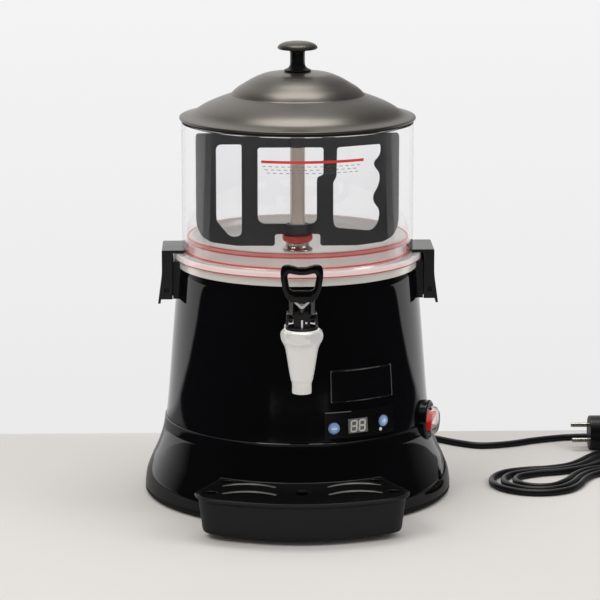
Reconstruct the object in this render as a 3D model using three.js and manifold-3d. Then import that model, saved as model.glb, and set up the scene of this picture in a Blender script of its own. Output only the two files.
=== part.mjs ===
// A counter-top hot chocolate dispenser: a conical housing with a flared skirt, a clear bowl held
// down by two side latches, a domed lid, a slow paddle on a shaft inside a column tube, a lever tap
// with a push-on drip tray, a control panel, a covered rocker switch and a mains lead.
// Millimetres, +Z up, the front faces -Y. The origin is on the table, under the middle of the box.
import * as THREE from 'three';
import { mergeVertices } from 'three/addons/utils/BufferGeometryUtils.js';
import Module from 'manifold-3d';

const wasm = await Module();
wasm.setup();

// Overall sizes, from the table up
const overallHeight = 464.8;
const baseRadius = 158;
const trayStand = 72;
const trayReach = baseRadius + trayStand;
const seamHeight = 80.5;
const bowlStack = 228.8;
const shellTopHeight = overallHeight - bowlStack;
const skirtFlare = 21.1;
const skirtTopRadius = baseRadius - skirtFlare;
const seamStep = 1.3;
const shellBottomRadius = skirtTopRadius - seamStep;
const shellTaper = 14.3;
const shellTopRadius = shellBottomRadius - shellTaper;
const ringStep = 1.3;
const ringRadius = shellTopRadius + ringStep;
const ringHeight = 8;
const bowlInset = 4.6;
const bowlRadius = ringRadius - bowlInset;
const bowlWall = 3;
const lidStack = 80.8;
const bowlTopHeight = overallHeight - lidStack;
const floorRise = 14;
const levelFloorHeight = shellTopHeight + floorRise;
const lidOverhang = 2;
const lidRadius = bowlRadius + lidOverhang;
const tapStand = 41.7;
const tapReach = shellTopRadius + tapStand;
const tapBelowTop = 33;
const tapShoulderHeight = shellTopHeight - tapBelowTop;
const tapDrop = 64;
const nozzleTipHeight = tapShoulderHeight - tapDrop;

// Clearances and facets
const gap = 0.3;
const runningGap = 0.5;
const weld = 1e-4;
const overrun = 4;
const roundSteps = 32;
const innerSteps = 20;
const smallSteps = 16;
const tinySteps = 12;
const quarterTurn = Math.PI / 2;

// Materials
function finish(name, color, roughness, metalness = 0, opacity = 1) {
  const transparent = opacity < 1;
  return new THREE.MeshStandardMaterial({ name, color, roughness, metalness, opacity, transparent });
}
const glossBlack = finish('gloss_black', 0x0b0b0c, 0.12);
const satinBlack = finish('satin_black', 0x1c1c1e, 0.45);
const trimRubber = finish('trim_rubber', 0x101011, 0.7);
const graphiteLid = finish('graphite_lid', 0x6e6862, 0.38, 0.6);
const clearBowlPlastic = finish('clear_bowl', 0xeef2f6, 0.05, 0, 0.3);
const redSilicone = finish('red_silicone', 0xc8463f, 0.5);
const brushedSteel = finish('brushed_steel', 0xb7aea4, 0.35, 1);
const polishedSteel = finish('polished_steel', 0xe4dfd4, 0.2, 1);
const satinChrome = finish('satin_chrome', 0xdedede, 0.22, 1);
const paddleGrey = finish('paddle_grey', 0x464648, 0.5);
const panelFilm = finish('panel_film', 0x121214, 0.3);
const displayGlass = finish('display_glass', 0x8f8f86, 0.2);
const buttonBlue = finish('button_blue', 0x9db9dc, 0.3);
const lampLens = finish('lamp_lens', 0xdce8f4, 0.3);
const switchRed = finish('switch_red', 0xd02a2a, 0.25);
const clearCover = finish('clear_cover', 0xf0e8e8, 0.1, 0, 0.35);
const boardGreen = finish('board_green', 0x1f5a35, 0.6);
const castMetal = finish('cast_metal', 0x8a8d90, 0.5, 0.8);
const plugBlack = finish('plug_black', 0x141415, 0.55);
const cordBlack = finish('cord_black', 0x121213, 0.5);

// Solids: a closed mesh with its shared vertices merged, its faces pointing out
function closedSolid(geometry) {
  const loose = geometry.index ? geometry.toNonIndexed() : geometry.clone();
  loose.deleteAttribute('normal');
  loose.deleteAttribute('uv');
  const merged = mergeVertices(loose, weld);
  const places = merged.attributes.position.array;
  const corners = merged.index.array;
  const kept = [];
  let volume = 0;
  const [first, second, third] = [new THREE.Vector3(), new THREE.Vector3(), new THREE.Vector3()];
  for (let i = 0; i < corners.length; i += 3) {
    const [a, b, c] = corners.subarray(i, i + 3);
    if (a === b || b === c || c === a) continue;
    kept.push(a, b, c);
    first.fromArray(places, a * 3);
    second.fromArray(places, b * 3);
    third.fromArray(places, c * 3);
    volume += first.dot(second.cross(third));
  }
  const triVerts = new Uint32Array(volume < 0 ? kept.reverse() : kept);
  return new wasm.Manifold(new wasm.Mesh({ numProp: 3, vertProperties: places, triVerts }));
}

const solidOf = (shape) => (shape.isBufferGeometry ? closedSolid(shape) : shape);
const join = (...shapes) => shapes.map(solidOf).reduce((whole, next) => whole.add(next));
const cut = (shape, ...tools) =>
  tools.map(solidOf).reduce((rest, tool) => rest.subtract(tool), solidOf(shape));
const common = (shape, other) => solidOf(shape).intersect(solidOf(other));

function geometryOf(shape) {
  const { vertProperties, triVerts } = solidOf(shape).getMesh();
  const geometry = new THREE.BufferGeometry();
  geometry.setAttribute('position', new THREE.BufferAttribute(new Float32Array(vertProperties), 3));
  geometry.setIndex(new THREE.BufferAttribute(new Uint32Array(triVerts), 1));
  geometry.computeVertexNormals();
  return geometry;
}

function addPiece(group, name, material, shape) {
  const piece = new THREE.Mesh(geometryOf(shape), material);
  piece.name = name;
  group.add(piece);
  return piece;
}

// Basic shapes, all three.js geometries in the group's own frame
function revolve(profile, steps) {
  const points = profile.map(([radius, height]) => new THREE.Vector2(radius, height));
  const onAxis = profile[0][0] === 0 && profile[profile.length - 1][0] === 0;
  if (!onAxis) points.push(points[0].clone());
  return new THREE.LatheGeometry(points, steps).rotateX(quarterTurn);
}

const shapeOf = (outline) => new THREE.Shape(outline.map(([x, y]) => new THREE.Vector2(x, y)));

// A plate whose outline lies in X and Y, from one height to another
function plate(outline, low, high) {
  const shape = Array.isArray(outline) ? shapeOf(outline) : outline;
  const settings = { depth: high - low, bevelEnabled: false };
  return new THREE.ExtrudeGeometry(shape, settings).translate(0, 0, low);
}

// A plate whose outline lies in X and Z, from a front place to a back place along Y
function uprightPlate(outline, front, back) {
  return plate(outline, front, back).rotateX(quarterTurn).translate(0, front + back, 0);
}

// A plate whose outline lies in Y and Z, from a left place to a right place along X
function sidePlate(outline, left, right) {
  return plate(outline, left, right).rotateX(quarterTurn).rotateZ(quarterTurn);
}

function block(left, right, front, back, low, high) {
  const box = new THREE.BoxGeometry(right - left, back - front, high - low);
  return box.translate((left + right) / 2, (front + back) / 2, (low + high) / 2);
}

// Rods along each axis, between two places
function rodUp(radius, low, high, steps, x = 0, y = 0) {
  const rod = new THREE.CylinderGeometry(radius, radius, high - low, steps).rotateX(quarterTurn);
  return rod.translate(x, y, (low + high) / 2);
}
function rodBack(radius, front, back, steps, x = 0, z = 0) {
  const rod = new THREE.CylinderGeometry(radius, radius, back - front, steps);
  return rod.translate(x, (front + back) / 2, z);
}
function rodAcross(radius, left, right, steps, y = 0, z = 0) {
  const rod = new THREE.CylinderGeometry(radius, radius, right - left, steps).rotateZ(quarterTurn);
  return rod.translate((left + right) / 2, y, z);
}

// A rod that points out of the housing at an azimuth from the front, between two radii
function rodOut(radius, azimuth, height, near, far, steps) {
  return rodBack(radius, -far, -near, steps, 0, height).rotateZ(azimuth);
}

// A tube along a list of points: a round section carried along a smooth curve
function tubeAlong(points, radius, sides, steps) {
  const path = new THREE.CatmullRomCurve3(points.map(([x, y, z]) => new THREE.Vector3(x, y, z)));
  const section = new THREE.Shape();
  for (let i = 0; i < sides; i += 1) {
    const angle = (i / sides) * quarterTurn * 4;
    const place = [radius * Math.cos(angle), radius * Math.sin(angle)];
    if (i === 0) section.moveTo(...place);
    else section.lineTo(...place);
  }
  section.closePath();
  return new THREE.ExtrudeGeometry(section, { steps, extrudePath: path, bevelEnabled: false });
}

// The radius of a profile of [radius, height] points at one height
function radiusAt(profile, height) {
  const rising = [...profile].sort((one, other) => one[1] - other[1]);
  const above = rising.findIndex((point) => point[1] >= height);
  if (above <= 0) return rising[above === 0 ? 0 : rising.length - 1][0];
  const [[lowRadius, low], [highRadius, high]] = [rising[above - 1], rising[above]];
  return lowRadius + ((highRadius - lowRadius) * (height - low)) / (high - low);
}

// The same profile, moved out along the radius
const movedOut = (profile, distance) => profile.map(([radius, height]) => [radius + distance, height]);

const part = new THREE.Group();
const machine = new THREE.Group();
part.add(machine);

// Housing: the flared skirt below the seam and the conical shell above it
const housingWall = 2.5;
const footHeight = 2;
const trimBand = 4.7;
const seamGap = 0.3;
const trimTop = footHeight + trimBand;
const skirtBottom = trimTop + gap;
const skirtTop = seamHeight - seamGap;
const skirtShares = [[0, 1], [0.08, 0.98], [0.23, 0.87], [0.38, 0.65], [0.55, 0.38], [0.76, 0.12], [1, 0]];
const skirtProfile = skirtShares.map(([heightShare, flareShare]) => [
  skirtTopRadius + flareShare * (baseRadius - skirtTopRadius),
  skirtBottom + heightShare * (skirtTop - skirtBottom),
]);
const shellShares = [[0, 0], [0.45, 0.43], [1, 1]];
const shellProfile = shellShares.map(([heightShare, taperShare]) => [
  shellBottomRadius + taperShare * (shellTopRadius - shellBottomRadius),
  seamHeight + heightShare * (shellTopHeight - seamHeight),
]);

// A full body inside a profile moved out by a distance, to cut neighbours that follow it
function bodyInside(profile, distance) {
  const edge = movedOut(profile, distance);
  const low = edge[0][1];
  const high = edge[edge.length - 1][1];
  return revolve([[0, low], ...edge, [0, high]], roundSteps);
}
function skinOf(profile, wall) {
  const inside = movedOut(profile, -wall).filter((point, i) => i % 2 === 0);
  return [...profile, ...inside.reverse()];
}

// Trim band under the skirt, with a ledge for the base plate and a rib inside the skirt
const trimLedge = 14;
const ribHeight = 5.3;
const ribWidth = 3;
const trimChamfer = 1;
const trimRibOuter = radiusAt(skirtProfile, trimTop + ribHeight) - housingWall - runningGap;
const trimRibInner = trimRibOuter - ribWidth;
const basePlateRadius = trimRibInner - gap;
const basePlateThickness = 1.5;
const basePlateLow = trimTop + gap;
const basePlateHigh = basePlateLow + basePlateThickness;
addPiece(machine, 'bottom_trim', trimRubber, revolve([
  [baseRadius - trimLedge, footHeight],
  [baseRadius - trimChamfer, footHeight],
  [baseRadius, trimTop],
  [trimRibOuter, trimTop],
  [trimRibOuter, trimTop + ribHeight],
  [trimRibInner, trimTop + ribHeight],
  [trimRibInner, trimTop],
  [baseRadius - trimLedge, trimTop],
], roundSteps));

// Feet pushed into the base plate, and the plate's vents
const footRadius = 11.5;
const footNeckRadius = 5;
const footHeadRadius = 7;
const footHeadHeight = 2.5;
const footSetback = 36;
const footPlace = baseRadius - footSetback;
const footChamfer = 1;
const ventWidth = 5;
const ventLength = 46;
const ventPitch = 14;
const ventCount = 4;
const ventPlace = 70;
const footCentre = footPlace * Math.SQRT1_2;
const footPlaces = [[-1, -1, 'front_left'], [1, -1, 'front_right'], [-1, 1, 'rear_left'], [1, 1, 'rear_right']];
const footShoulder = basePlateLow - gap;
const footHeadLow = basePlateHigh + gap;
const footProfile = [
  [0, 0],
  [footRadius - footChamfer, 0],
  [footRadius, footShoulder],
  [footNeckRadius, footShoulder],
  [footNeckRadius, footHeadLow],
  [footHeadRadius, footHeadLow],
  [footNeckRadius, footHeadLow + footHeadHeight],
  [0, footHeadLow + footHeadHeight],
];
const plateHoles = [];
for (const [across, along, place] of footPlaces) {
  const [x, y] = [across * footCentre, along * footCentre];
  addPiece(machine, `foot_${place}`, trimRubber, revolve(footProfile, tinySteps).translate(x, y, 0));
  plateHoles.push(rodUp(footNeckRadius + gap, basePlateLow - overrun, basePlateHigh + overrun, smallSteps, x, y));
}
for (let i = 0; i < ventCount; i += 1) {
  const y = ventPlace + (i - (ventCount - 1) / 2) * ventPitch;
  const [left, right] = [-ventLength / 2, ventLength / 2];
  plateHoles.push(block(left, right, y, y + ventWidth, basePlateLow - overrun, basePlateHigh + overrun));
}
const basePlate = rodUp(basePlateRadius, basePlateLow, basePlateHigh, roundSteps);
addPiece(machine, 'base_plate', castMetal, cut(basePlate, ...plateHoles));

// Switch place, shared by the housing's hole and the switch itself
const switchAzimuth = THREE.MathUtils.degToRad(72.5);
const switchHeight = 80.5;
const switchNeckRadius = 14.3;
const housingFar = baseRadius + overrun;
const switchHole = rodOut(switchNeckRadius + gap, switchAzimuth, switchHeight, shellTopRadius - overrun, housingFar, smallSteps);

// Drip tray tongues and their slots in the skirt
const tongueWidth = 12;
const tongueThickness = 4;
const tonguePlace = 36;
const tongueHeight = 30;
const tongueReach = 8;
const trayLow = 6;
const trayHigh = 44;
const trayBackGap = 0.8;
const tongueInner = -(radiusAt(skirtProfile, tongueHeight) - housingWall - tongueReach);
function tongue(side, clearance, front, back) {
  const middle = side * tonguePlace;
  const half = tongueWidth / 2 + clearance;
  const [low, high] = [tongueHeight - clearance, tongueHeight + tongueThickness + clearance];
  return block(middle - half, middle + half, front, back, low, high);
}

// Cord grommet place, at the back of the skirt
const grommetAzimuth = THREE.MathUtils.degToRad(160);
const grommetHeight = 24;
const grommetNeckRadius = 7;
const grommetSurface = radiusAt(skirtProfile, grommetHeight);
const grommetHole = rodOut(grommetNeckRadius + gap, grommetAzimuth, grommetHeight, shellTopRadius, housingFar, smallSteps);

addPiece(machine, 'base_skirt', glossBlack, cut(
  revolve(skinOf(skirtProfile, housingWall), roundSteps),
  switchHole,
  grommetHole,
  tongue(-1, runningGap, -housingFar, tongueInner),
  tongue(1, runningGap, -housingFar, tongueInner),
));

// Upper shell, with a tongue inside the skirt at the seam and holes for the tap and the panel
const shellSpigotDepth = 8;
const spigotOuter = skirtTopRadius - housingWall - runningGap;
const spigotInner = spigotOuter - housingWall;
const shankDrop = 11;
const shankHeight = tapShoulderHeight - shankDrop;
const shankRadius = 9;
const shankBore = 6;
const tapHole = rodBack(shankRadius + gap, -housingFar, -shellTopRadius / 2, smallSteps, 0, shankHeight);
const buttonRadius = 6;
const buttonAzimuths = [14.1, 38].map(THREE.MathUtils.degToRad);
const leftButtonHeight = 94.4;
const rightButtonHeight = 96.2;
const buttonHeights = [leftButtonHeight, rightButtonHeight];
const lampRadius = 1.8;
const lampAzimuth = THREE.MathUtils.degToRad(36.2);
const lampHeight = 88.6;
const panelDepth = 30;
const panelHoles = buttonAzimuths.map((azimuth, i) =>
  rodOut(buttonRadius + gap, azimuth, buttonHeights[i], shellTopRadius - panelDepth, housingFar, tinySteps));
panelHoles.push(rodOut(lampRadius + gap, lampAzimuth, lampHeight, shellTopRadius - panelDepth, housingFar, tinySteps));
const shellInner = movedOut(shellProfile, -housingWall).reverse();
shellInner.pop();
const spigotTop = seamHeight + housingWall;
const spigotStep = radiusAt(shellProfile, spigotTop) - housingWall;
addPiece(machine, 'upper_shell', glossBlack, cut(
  revolve([
    ...shellProfile,
    ...shellInner,
    [spigotStep, spigotTop],
    [spigotInner, spigotTop],
    [spigotInner, seamHeight - shellSpigotDepth],
    [spigotOuter, seamHeight - shellSpigotDepth],
    [spigotOuter, seamHeight],
  ], roundSteps),
  switchHole,
  tapHole,
  ...panelHoles,
));

// Steel ring that caps the shell and carries the heating plate and the bowl
const ringWall = 2;
const ringBreadth = 24.6;
const ringInnerRadius = ringRadius - ringBreadth;
const ringBottom = shellTopHeight + gap;
const ringTop = ringBottom + ringHeight;
const ringWallInner = shellTopRadius - housingWall / 2;
addPiece(machine, 'top_ring', polishedSteel, revolve([
  [ringRadius, ringBottom],
  [ringRadius, ringTop],
  [ringInnerRadius, ringTop],
  [ringInnerRadius, ringTop - ringWall],
  [ringWallInner, ringTop - ringWall],
  [ringWallInner, ringBottom],
], roundSteps));

// Column tube and drive line radii, shared by everything that they pass through
const columnRadius = 7.75;
const columnBore = 6;
const columnShort = 27;
const columnTop = bowlTopHeight - columnShort;
const shaftRadius = 4;
const tankDrop = 86;
const tankFloorHeight = shellTopHeight - tankDrop;
const sheetThickness = 1.5;

// Heating plate: a shallow steel dish with a rolled rim and an outer wall
const plateInset = 7;
const plateRadius = bowlRadius - plateInset;
const rimRise = 16.5;
const plateRimHeight = levelFloorHeight + rimRise;
const outletInset = 27;
const outletPlace = plateRadius - outletInset;
const outletBore = 8;
const pipeWall = 1.2;
const plateWallLow = ringTop + gap;
const dishShares = [[0.973, 1], [0.955, 0.91], [0.93, 0.55], [0.86, 0.2], [0.6, 0]];
const dishTop = dishShares.map(([radiusShare, riseShare]) => [
  plateRadius * radiusShare,
  levelFloorHeight + rimRise * riseShare,
]);
const dishHole = columnRadius + gap;
const dishUnder = dishTop.filter((point, i) => i !== 1).map(([radius, height]) => [radius, height - sheetThickness]);
const rimInnerWall = plateRadius - sheetThickness;
dishUnder[0] = [rimInnerWall, plateRimHeight - 2 * sheetThickness];
const plateDish = revolve([
  [plateRadius, plateWallLow],
  [plateRadius, plateRimHeight - sheetThickness],
  ...dishTop,
  [dishHole, levelFloorHeight],
  [dishHole, levelFloorHeight - sheetThickness],
  ...dishUnder.reverse(),
  [rimInnerWall, plateWallLow],
], roundSteps);
const outletHole = rodUp(outletBore, levelFloorHeight - rimRise, plateRimHeight, smallSteps, 0, -outletPlace);
addPiece(machine, 'heating_plate', brushedSteel, cut(plateDish, outletHole));

// Red seals: one over the plate's rim, one round the foot of its wall
const sealThickness = 1.9;
const rimSealDrop = 5;
const rimSealReach = 3.8;
const rimSealInner = plateRadius - rimSealReach;
const bowlSealHeight = 11;
const bowlInnerRadius = bowlRadius - bowlWall;
const sealOuter = plateRadius + gap + sealThickness;
addPiece(machine, 'plate_rim_seal', redSilicone, revolve([
  [sealOuter, plateRimHeight - rimSealDrop],
  [sealOuter, plateRimHeight + gap],
  [plateRadius, plateRimHeight + sealThickness + gap],
  [rimSealInner, plateRimHeight + gap],
  [plateRadius + gap, plateRimHeight + gap],
  [plateRadius + gap, plateRimHeight - rimSealDrop],
], roundSteps));
const bowlSealOuter = bowlInnerRadius - gap;
addPiece(machine, 'bowl_seal', redSilicone, revolve([
  [plateRadius + gap, plateWallLow],
  [bowlSealOuter, plateWallLow],
  [bowlSealOuter - gap, plateWallLow + bowlSealHeight],
  [plateRadius + gap, plateWallLow + bowlSealHeight - sealThickness],
], roundSteps));

// Clear bowl with its foot flange
const flangeReach = 8;
const flangeRadius = bowlRadius + flangeReach;
const flangeThickness = 7.4;
const flangeFillet = 1.2;
const bowlRimChamfer = 0.9;
const flangeTop = plateWallLow + flangeThickness;
addPiece(machine, 'bowl', clearBowlPlastic, revolve([
  [bowlInnerRadius, plateWallLow],
  [flangeRadius, plateWallLow],
  [flangeRadius, flangeTop],
  [bowlRadius, flangeTop],
  [bowlRadius, bowlTopHeight - bowlRimChamfer],
  [bowlRadius - bowlRimChamfer, bowlTopHeight],
  [bowlInnerRadius + bowlRimChamfer, bowlTopHeight],
  [bowlInnerRadius, bowlTopHeight - bowlRimChamfer],
], roundSteps));

// Water bath under the plate, with its element and temperature probe
const tankLedge = 3.5;
const tankFlangeReach = 18;
const tankRadius = ringInnerRadius + tankLedge;
const tankFlangeRadius = ringInnerRadius + tankFlangeReach;
const tankFlangeTop = ringTop - ringWall - gap;
const tankInner = tankRadius - sheetThickness;
const pipeRadius = outletBore + pipeWall;
const pipeHole = rodBack(pipeRadius + 2 * runningGap, -tankFlangeRadius, -tankInner / 2, smallSteps, 0, shankHeight);
const tankShell = revolve([
  [shaftRadius + gap, tankFloorHeight],
  [tankRadius, tankFloorHeight],
  [tankRadius, tankFlangeTop - sheetThickness],
  [tankFlangeRadius, tankFlangeTop - sheetThickness],
  [tankFlangeRadius, tankFlangeTop],
  [tankInner, tankFlangeTop],
  [tankInner, tankFloorHeight + sheetThickness],
  [shaftRadius + gap, tankFloorHeight + sheetThickness],
], innerSteps);
const elementRingRadius = 58;
const elementTubeRadius = 4;
const elementRise = 18;
const elementHeight = tankFloorHeight + elementRise;
const elementGap = 32;
const probeRadius = 3;
const probeInset = 23.5;
const probePlace = tankRadius - probeInset;
const probeLength = 40;
const probeTop = tankFloorHeight + probeLength;
const probeHead = 6;
const elementSteps = 30;
const elementSides = 6;
const elementLegs = [-1, 1].map((side) => side * elementGap / 2);
const elementTurn = Math.asin(elementGap / 2 / elementRingRadius);
const elementLow = tankFloorHeight - elementGap / 2;
const elementFloor = tankFloorHeight + sheetThickness;
const legHeights = [elementLow, tankFloorHeight, elementFloor, elementFloor + elementTubeRadius];
const elementLeg = (x) => legHeights.map((height) => [x, elementRingRadius, height]);
const elementPath = elementLeg(elementLegs[1]);
const elementArcPoints = 12;
for (let i = 0; i <= elementArcPoints; i += 1) {
  const sweep = (i / elementArcPoints) * (quarterTurn * 4 - 4 * elementTurn) + 2 * elementTurn;
  elementPath.push([elementRingRadius * Math.sin(sweep), elementRingRadius * Math.cos(sweep), elementHeight]);
}
elementPath.push(...elementLeg(elementLegs[0]).reverse());
const legHoles = elementLegs.map((x) =>
  rodUp(elementTubeRadius + 2 * runningGap, elementLow, tankFloorHeight + overrun, tinySteps, x, elementRingRadius));
const probeHole = rodUp(probeRadius + gap, elementLow, tankFloorHeight + overrun, tinySteps, probePlace, 0);
addPiece(machine, 'water_tank', brushedSteel, cut(tankShell, pipeHole, ...legHoles, probeHole));
addPiece(machine, 'heating_element', brushedSteel, tubeAlong(elementPath, elementTubeRadius, elementSides, elementSteps));
addPiece(machine, 'temperature_probe', brushedSteel, join(
  rodUp(probeRadius, tankFloorHeight - probeHead, probeTop, tinySteps).translate(probePlace, 0, 0),
  rodUp(probeHead, tankFloorHeight - 2 * probeHead, tankFloorHeight - gap, tinySteps).translate(probePlace, 0, 0),
));

// Column tube on the tank floor, and its red seal in the dish
addPiece(machine, 'column_tube', brushedSteel, revolve([
  [columnBore, tankFloorHeight + sheetThickness + gap],
  [columnRadius, tankFloorHeight + sheetThickness + gap],
  [columnRadius, columnTop],
  [columnBore, columnTop],
], innerSteps));
const hubStand = 17.2;
const hubLow = levelFloorHeight + hubStand;
const shaftSealRadius = 15.5;
const shaftSealWaist = 12;
const shaftSealLip = 6;
const sealFoot = 3;
const shaftSealInner = columnRadius + gap;
addPiece(machine, 'shaft_seal', redSilicone, revolve([
  [shaftSealInner, levelFloorHeight + gap],
  [shaftSealRadius, levelFloorHeight + gap],
  [shaftSealRadius, levelFloorHeight + sealFoot],
  [shaftSealWaist, levelFloorHeight + 2 * sealFoot],
  [shaftSealWaist, hubLow - gap - shaftSealLip],
  [shaftSealRadius, hubLow - gap - shaftSealLip + sealThickness],
  [shaftSealRadius, hubLow - gap],
  [shaftSealInner, hubLow - gap],
], innerSteps));

// Stirrer: a flat paddle hung from the shaft's top, with its hub round the column
const paddleClearance = 7.3;
const paddleRadius = plateRadius - paddleClearance;
const paddleStand = 5;
const paddleShort = 15;
const paddleLow = levelFloorHeight + paddleStand;
const paddleHigh = bowlTopHeight - paddleShort;
const paddleThickness = 4;
const hubRadius = 12.2;
const hubHeight = 10.4;
const hubHigh = hubLow + hubHeight;
const capRadius = 11;
const capWall = 3.5;
const shaftTop = paddleHigh;
const paddleRise = paddleHigh - paddleLow;
const paddlePoint = ([acrossShare, upShare]) => [acrossShare * paddleRadius, paddleLow + upShare * paddleRise];
const hubSide = (columnRadius + shaftSealRadius) / paddleRadius;
const hubRise = (hubLow - paddleLow) / paddleRise;
const paddleEdgeShares = [
  [-0.99, 1], [-1, 0.97], [-1, 0.235], [-0.985, 0.16], [-0.94, 0.085], [-0.85, 0.035], [-0.6, 0.002],
  [-hubSide, 0], [-hubSide, hubRise], [hubSide, hubRise], [hubSide, 0],
  [0.6, 0.002], [0.85, 0.035], [0.94, 0.085], [0.985, 0.16], [1, 0.235], [1, 0.97], [0.99, 1],
];
const leftWindowShares = [
  [-0.8, 0.9], [-0.77, 0.925], [-0.56, 0.925], [-0.55, 0.915], [-0.55, 0.12], [-0.57, 0.09], [-0.63, 0.08],
  [-0.68, 0.095], [-0.79, 0.22], [-0.8, 0.25],
];
const middleWindowShares = [
  [-0.392, 0.9], [0.255, 0.9], [0.255, 0.64], [0.2, 0.625], [0.19, 0.6], [0.19, 0.23], [0.155, 0.2],
  [-0.34, 0.2], [-0.38, 0.225], [-0.392, 0.26],
];
const rightWindowShares = [
  [0.388, 0.9], [0.81, 0.93], [0.815, 0.9], [0.815, 0.84], [0.79, 0.795], [0.755, 0.765], [0.75, 0.73],
  [0.77, 0.7], [0.805, 0.66], [0.808, 0.59], [0.785, 0.52], [0.75, 0.47], [0.742, 0.42], [0.76, 0.38],
  [0.8, 0.335], [0.808, 0.28], [0.79, 0.2], [0.74, 0.145], [0.7, 0.135], [0.39, 0.16], [0.36, 0.185],
  [0.352, 0.25], [0.352, 0.58], [0.383, 0.62],
];
const paddleShape = shapeOf(paddleEdgeShares.map(paddlePoint));
for (const shares of [leftWindowShares, middleWindowShares, rightWindowShares]) {
  paddleShape.holes.push(shapeOf(shares.map(paddlePoint)));
}
const hubBore = rodUp(columnRadius + runningGap, hubLow - overrun, columnTop + runningGap, innerSteps);
const capBore = rodUp(shaftRadius + gap, columnTop, shaftTop + gap, innerSteps);
addPiece(machine, 'stirring_paddle', paddleGrey, cut(
  join(
    uprightPlate(paddleShape, -paddleThickness / 2, paddleThickness / 2),
    rodUp(hubRadius, hubLow, hubHigh, innerSteps),
    rodUp(capRadius, columnTop + runningGap, shaftTop + capWall, innerSteps),
  ),
  hubBore,
  capBore,
));

// Gear motor hung under a bracket that stands on the base plate, coupled to the shaft
const bracketDrop = 12;
const bracketHeight = tankFloorHeight - bracketDrop;
const bracketThickness = 2;
const bracketHalfWidth = 55;
const bracketHalfDepth = 32;
const bracketFootLength = 16;
const gearboxHeight = 36;
const gearboxHalfWidth = 38;
const gearboxHalfDepth = 30;
const motorRadius = 27;
const motorRoomShare = 0.57;
const motorOffset = 8;
const shaftInGearbox = 10;
const couplingRadius = 9;
const bracketLow = bracketHeight - bracketThickness;
const bracketStand = basePlateHigh + gap;
const gearboxTop = bracketLow - gap;
const gearboxLow = gearboxTop - gearboxHeight;
const motorLength = motorRoomShare * (gearboxLow - basePlateHigh);
const [bracketFront, bracketBack] = [-bracketHalfDepth, bracketHalfDepth];
const bracketParts = [block(-bracketHalfWidth, bracketHalfWidth, bracketFront, bracketBack, bracketLow, bracketHeight)];
for (const side of [-1, 1]) {
  const legFaces = [side * bracketHalfWidth, side * (bracketHalfWidth - bracketThickness)].sort((a, b) => a - b);
  const footFaces = [side * bracketHalfWidth, side * (bracketHalfWidth + bracketFootLength)].sort((a, b) => a - b);
  bracketParts.push(block(...legFaces, bracketFront, bracketBack, bracketStand, bracketHeight));
  bracketParts.push(block(...footFaces, bracketFront, bracketBack, bracketStand, bracketStand + bracketThickness));
}
const shaftHole = rodUp(shaftRadius + runningGap, bracketLow - overrun, bracketHeight + overrun, smallSteps);
addPiece(machine, 'motor_bracket', castMetal, cut(join(...bracketParts), shaftHole));
const gearbox = block(-gearboxHalfWidth, gearboxHalfWidth, -gearboxHalfDepth, gearboxHalfDepth, gearboxLow, gearboxTop);
addPiece(machine, 'gear_motor', castMetal, cut(
  join(gearbox, rodUp(motorRadius, gearboxLow - motorLength, gearboxLow + overrun, smallSteps, motorOffset)),
  rodUp(shaftRadius + gap, gearboxTop - shaftInGearbox - gap, gearboxTop + overrun, smallSteps),
));
addPiece(machine, 'drive_shaft', brushedSteel, rodUp(shaftRadius, gearboxTop - shaftInGearbox, shaftTop, smallSteps));
addPiece(machine, 'motor_coupling', castMetal, cut(
  rodUp(couplingRadius, bracketHeight + gap, tankFloorHeight - gap, smallSteps),
  rodUp(shaftRadius + gap, bracketLow, tankFloorHeight + overrun, smallSteps),
));

// Outlet pipe from the dish down to the tap shank
const pipeBend = 18;
const shankInnerReach = 45;
const shankInnerEnd = tapReach - shankInnerReach;
const pipeTop = levelFloorHeight - sheetThickness - gap;
const pipeEnd = -(shankInnerEnd - gap);
const pipeSteps = 11;
const pipeSides = 8;
const bendMiddle = pipeBend * (1 - Math.SQRT1_2);
const pipePath = (extra) => [
  [0, -outletPlace, pipeTop + extra],
  [0, -outletPlace, (pipeTop + shankHeight + pipeBend) / 2],
  [0, -outletPlace, shankHeight + pipeBend],
  [0, -outletPlace - bendMiddle, shankHeight + bendMiddle],
  [0, -outletPlace - pipeBend, shankHeight],
  [0, pipeEnd - extra, shankHeight],
];
addPiece(machine, 'outlet_pipe', brushedSteel, cut(
  tubeAlong(pipePath(0), pipeRadius, pipeSides, pipeSteps),
  tubeAlong(pipePath(overrun), outletBore, pipeSides, pipeSteps),
));

// Tap: shank through the shell, sealing washer, nut, body with its nozzle, bonnet, stem and lever
const tap = new THREE.Group();
tap.position.y = -tapReach;
machine.add(tap);
const bodyBossRadius = 11;
const bossLength = 22;
const shankSocket = 8;
const nutThickness = 6.5;
const nutRadius = 19;
const nutSides = 6;
const washerRadius = 17.5;
const bossBack = bossLength;
const shankFront = bossBack - shankSocket;
const shankBack = tapReach - shankInnerEnd;
const nutFront = bossBack + gap;
const nutBack = nutFront + nutThickness;
const shankRing = (radius, front, back, sides) => cut(
  rodBack(radius, front, back, sides, 0, shankHeight),
  rodBack(shankRadius + gap, front - overrun, back + overrun, smallSteps, 0, shankHeight),
);
addPiece(tap, 'tap_shank', satinChrome, cut(
  rodBack(shankRadius, shankFront, shankBack, smallSteps, 0, shankHeight),
  rodBack(shankBore, shankFront - overrun, shankBack + overrun, smallSteps, 0, shankHeight),
));
addPiece(tap, 'tap_nut', satinChrome, shankRing(nutRadius, nutFront, nutBack, nutSides));
const washerBack = tapReach - shellTopRadius;
addPiece(tap, 'tap_washer', trimRubber, cut(
  shankRing(washerRadius, nutBack + gap, washerBack, smallSteps),
  bodyInside(shellProfile, gap).translate(0, tapReach, 0),
));

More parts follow.
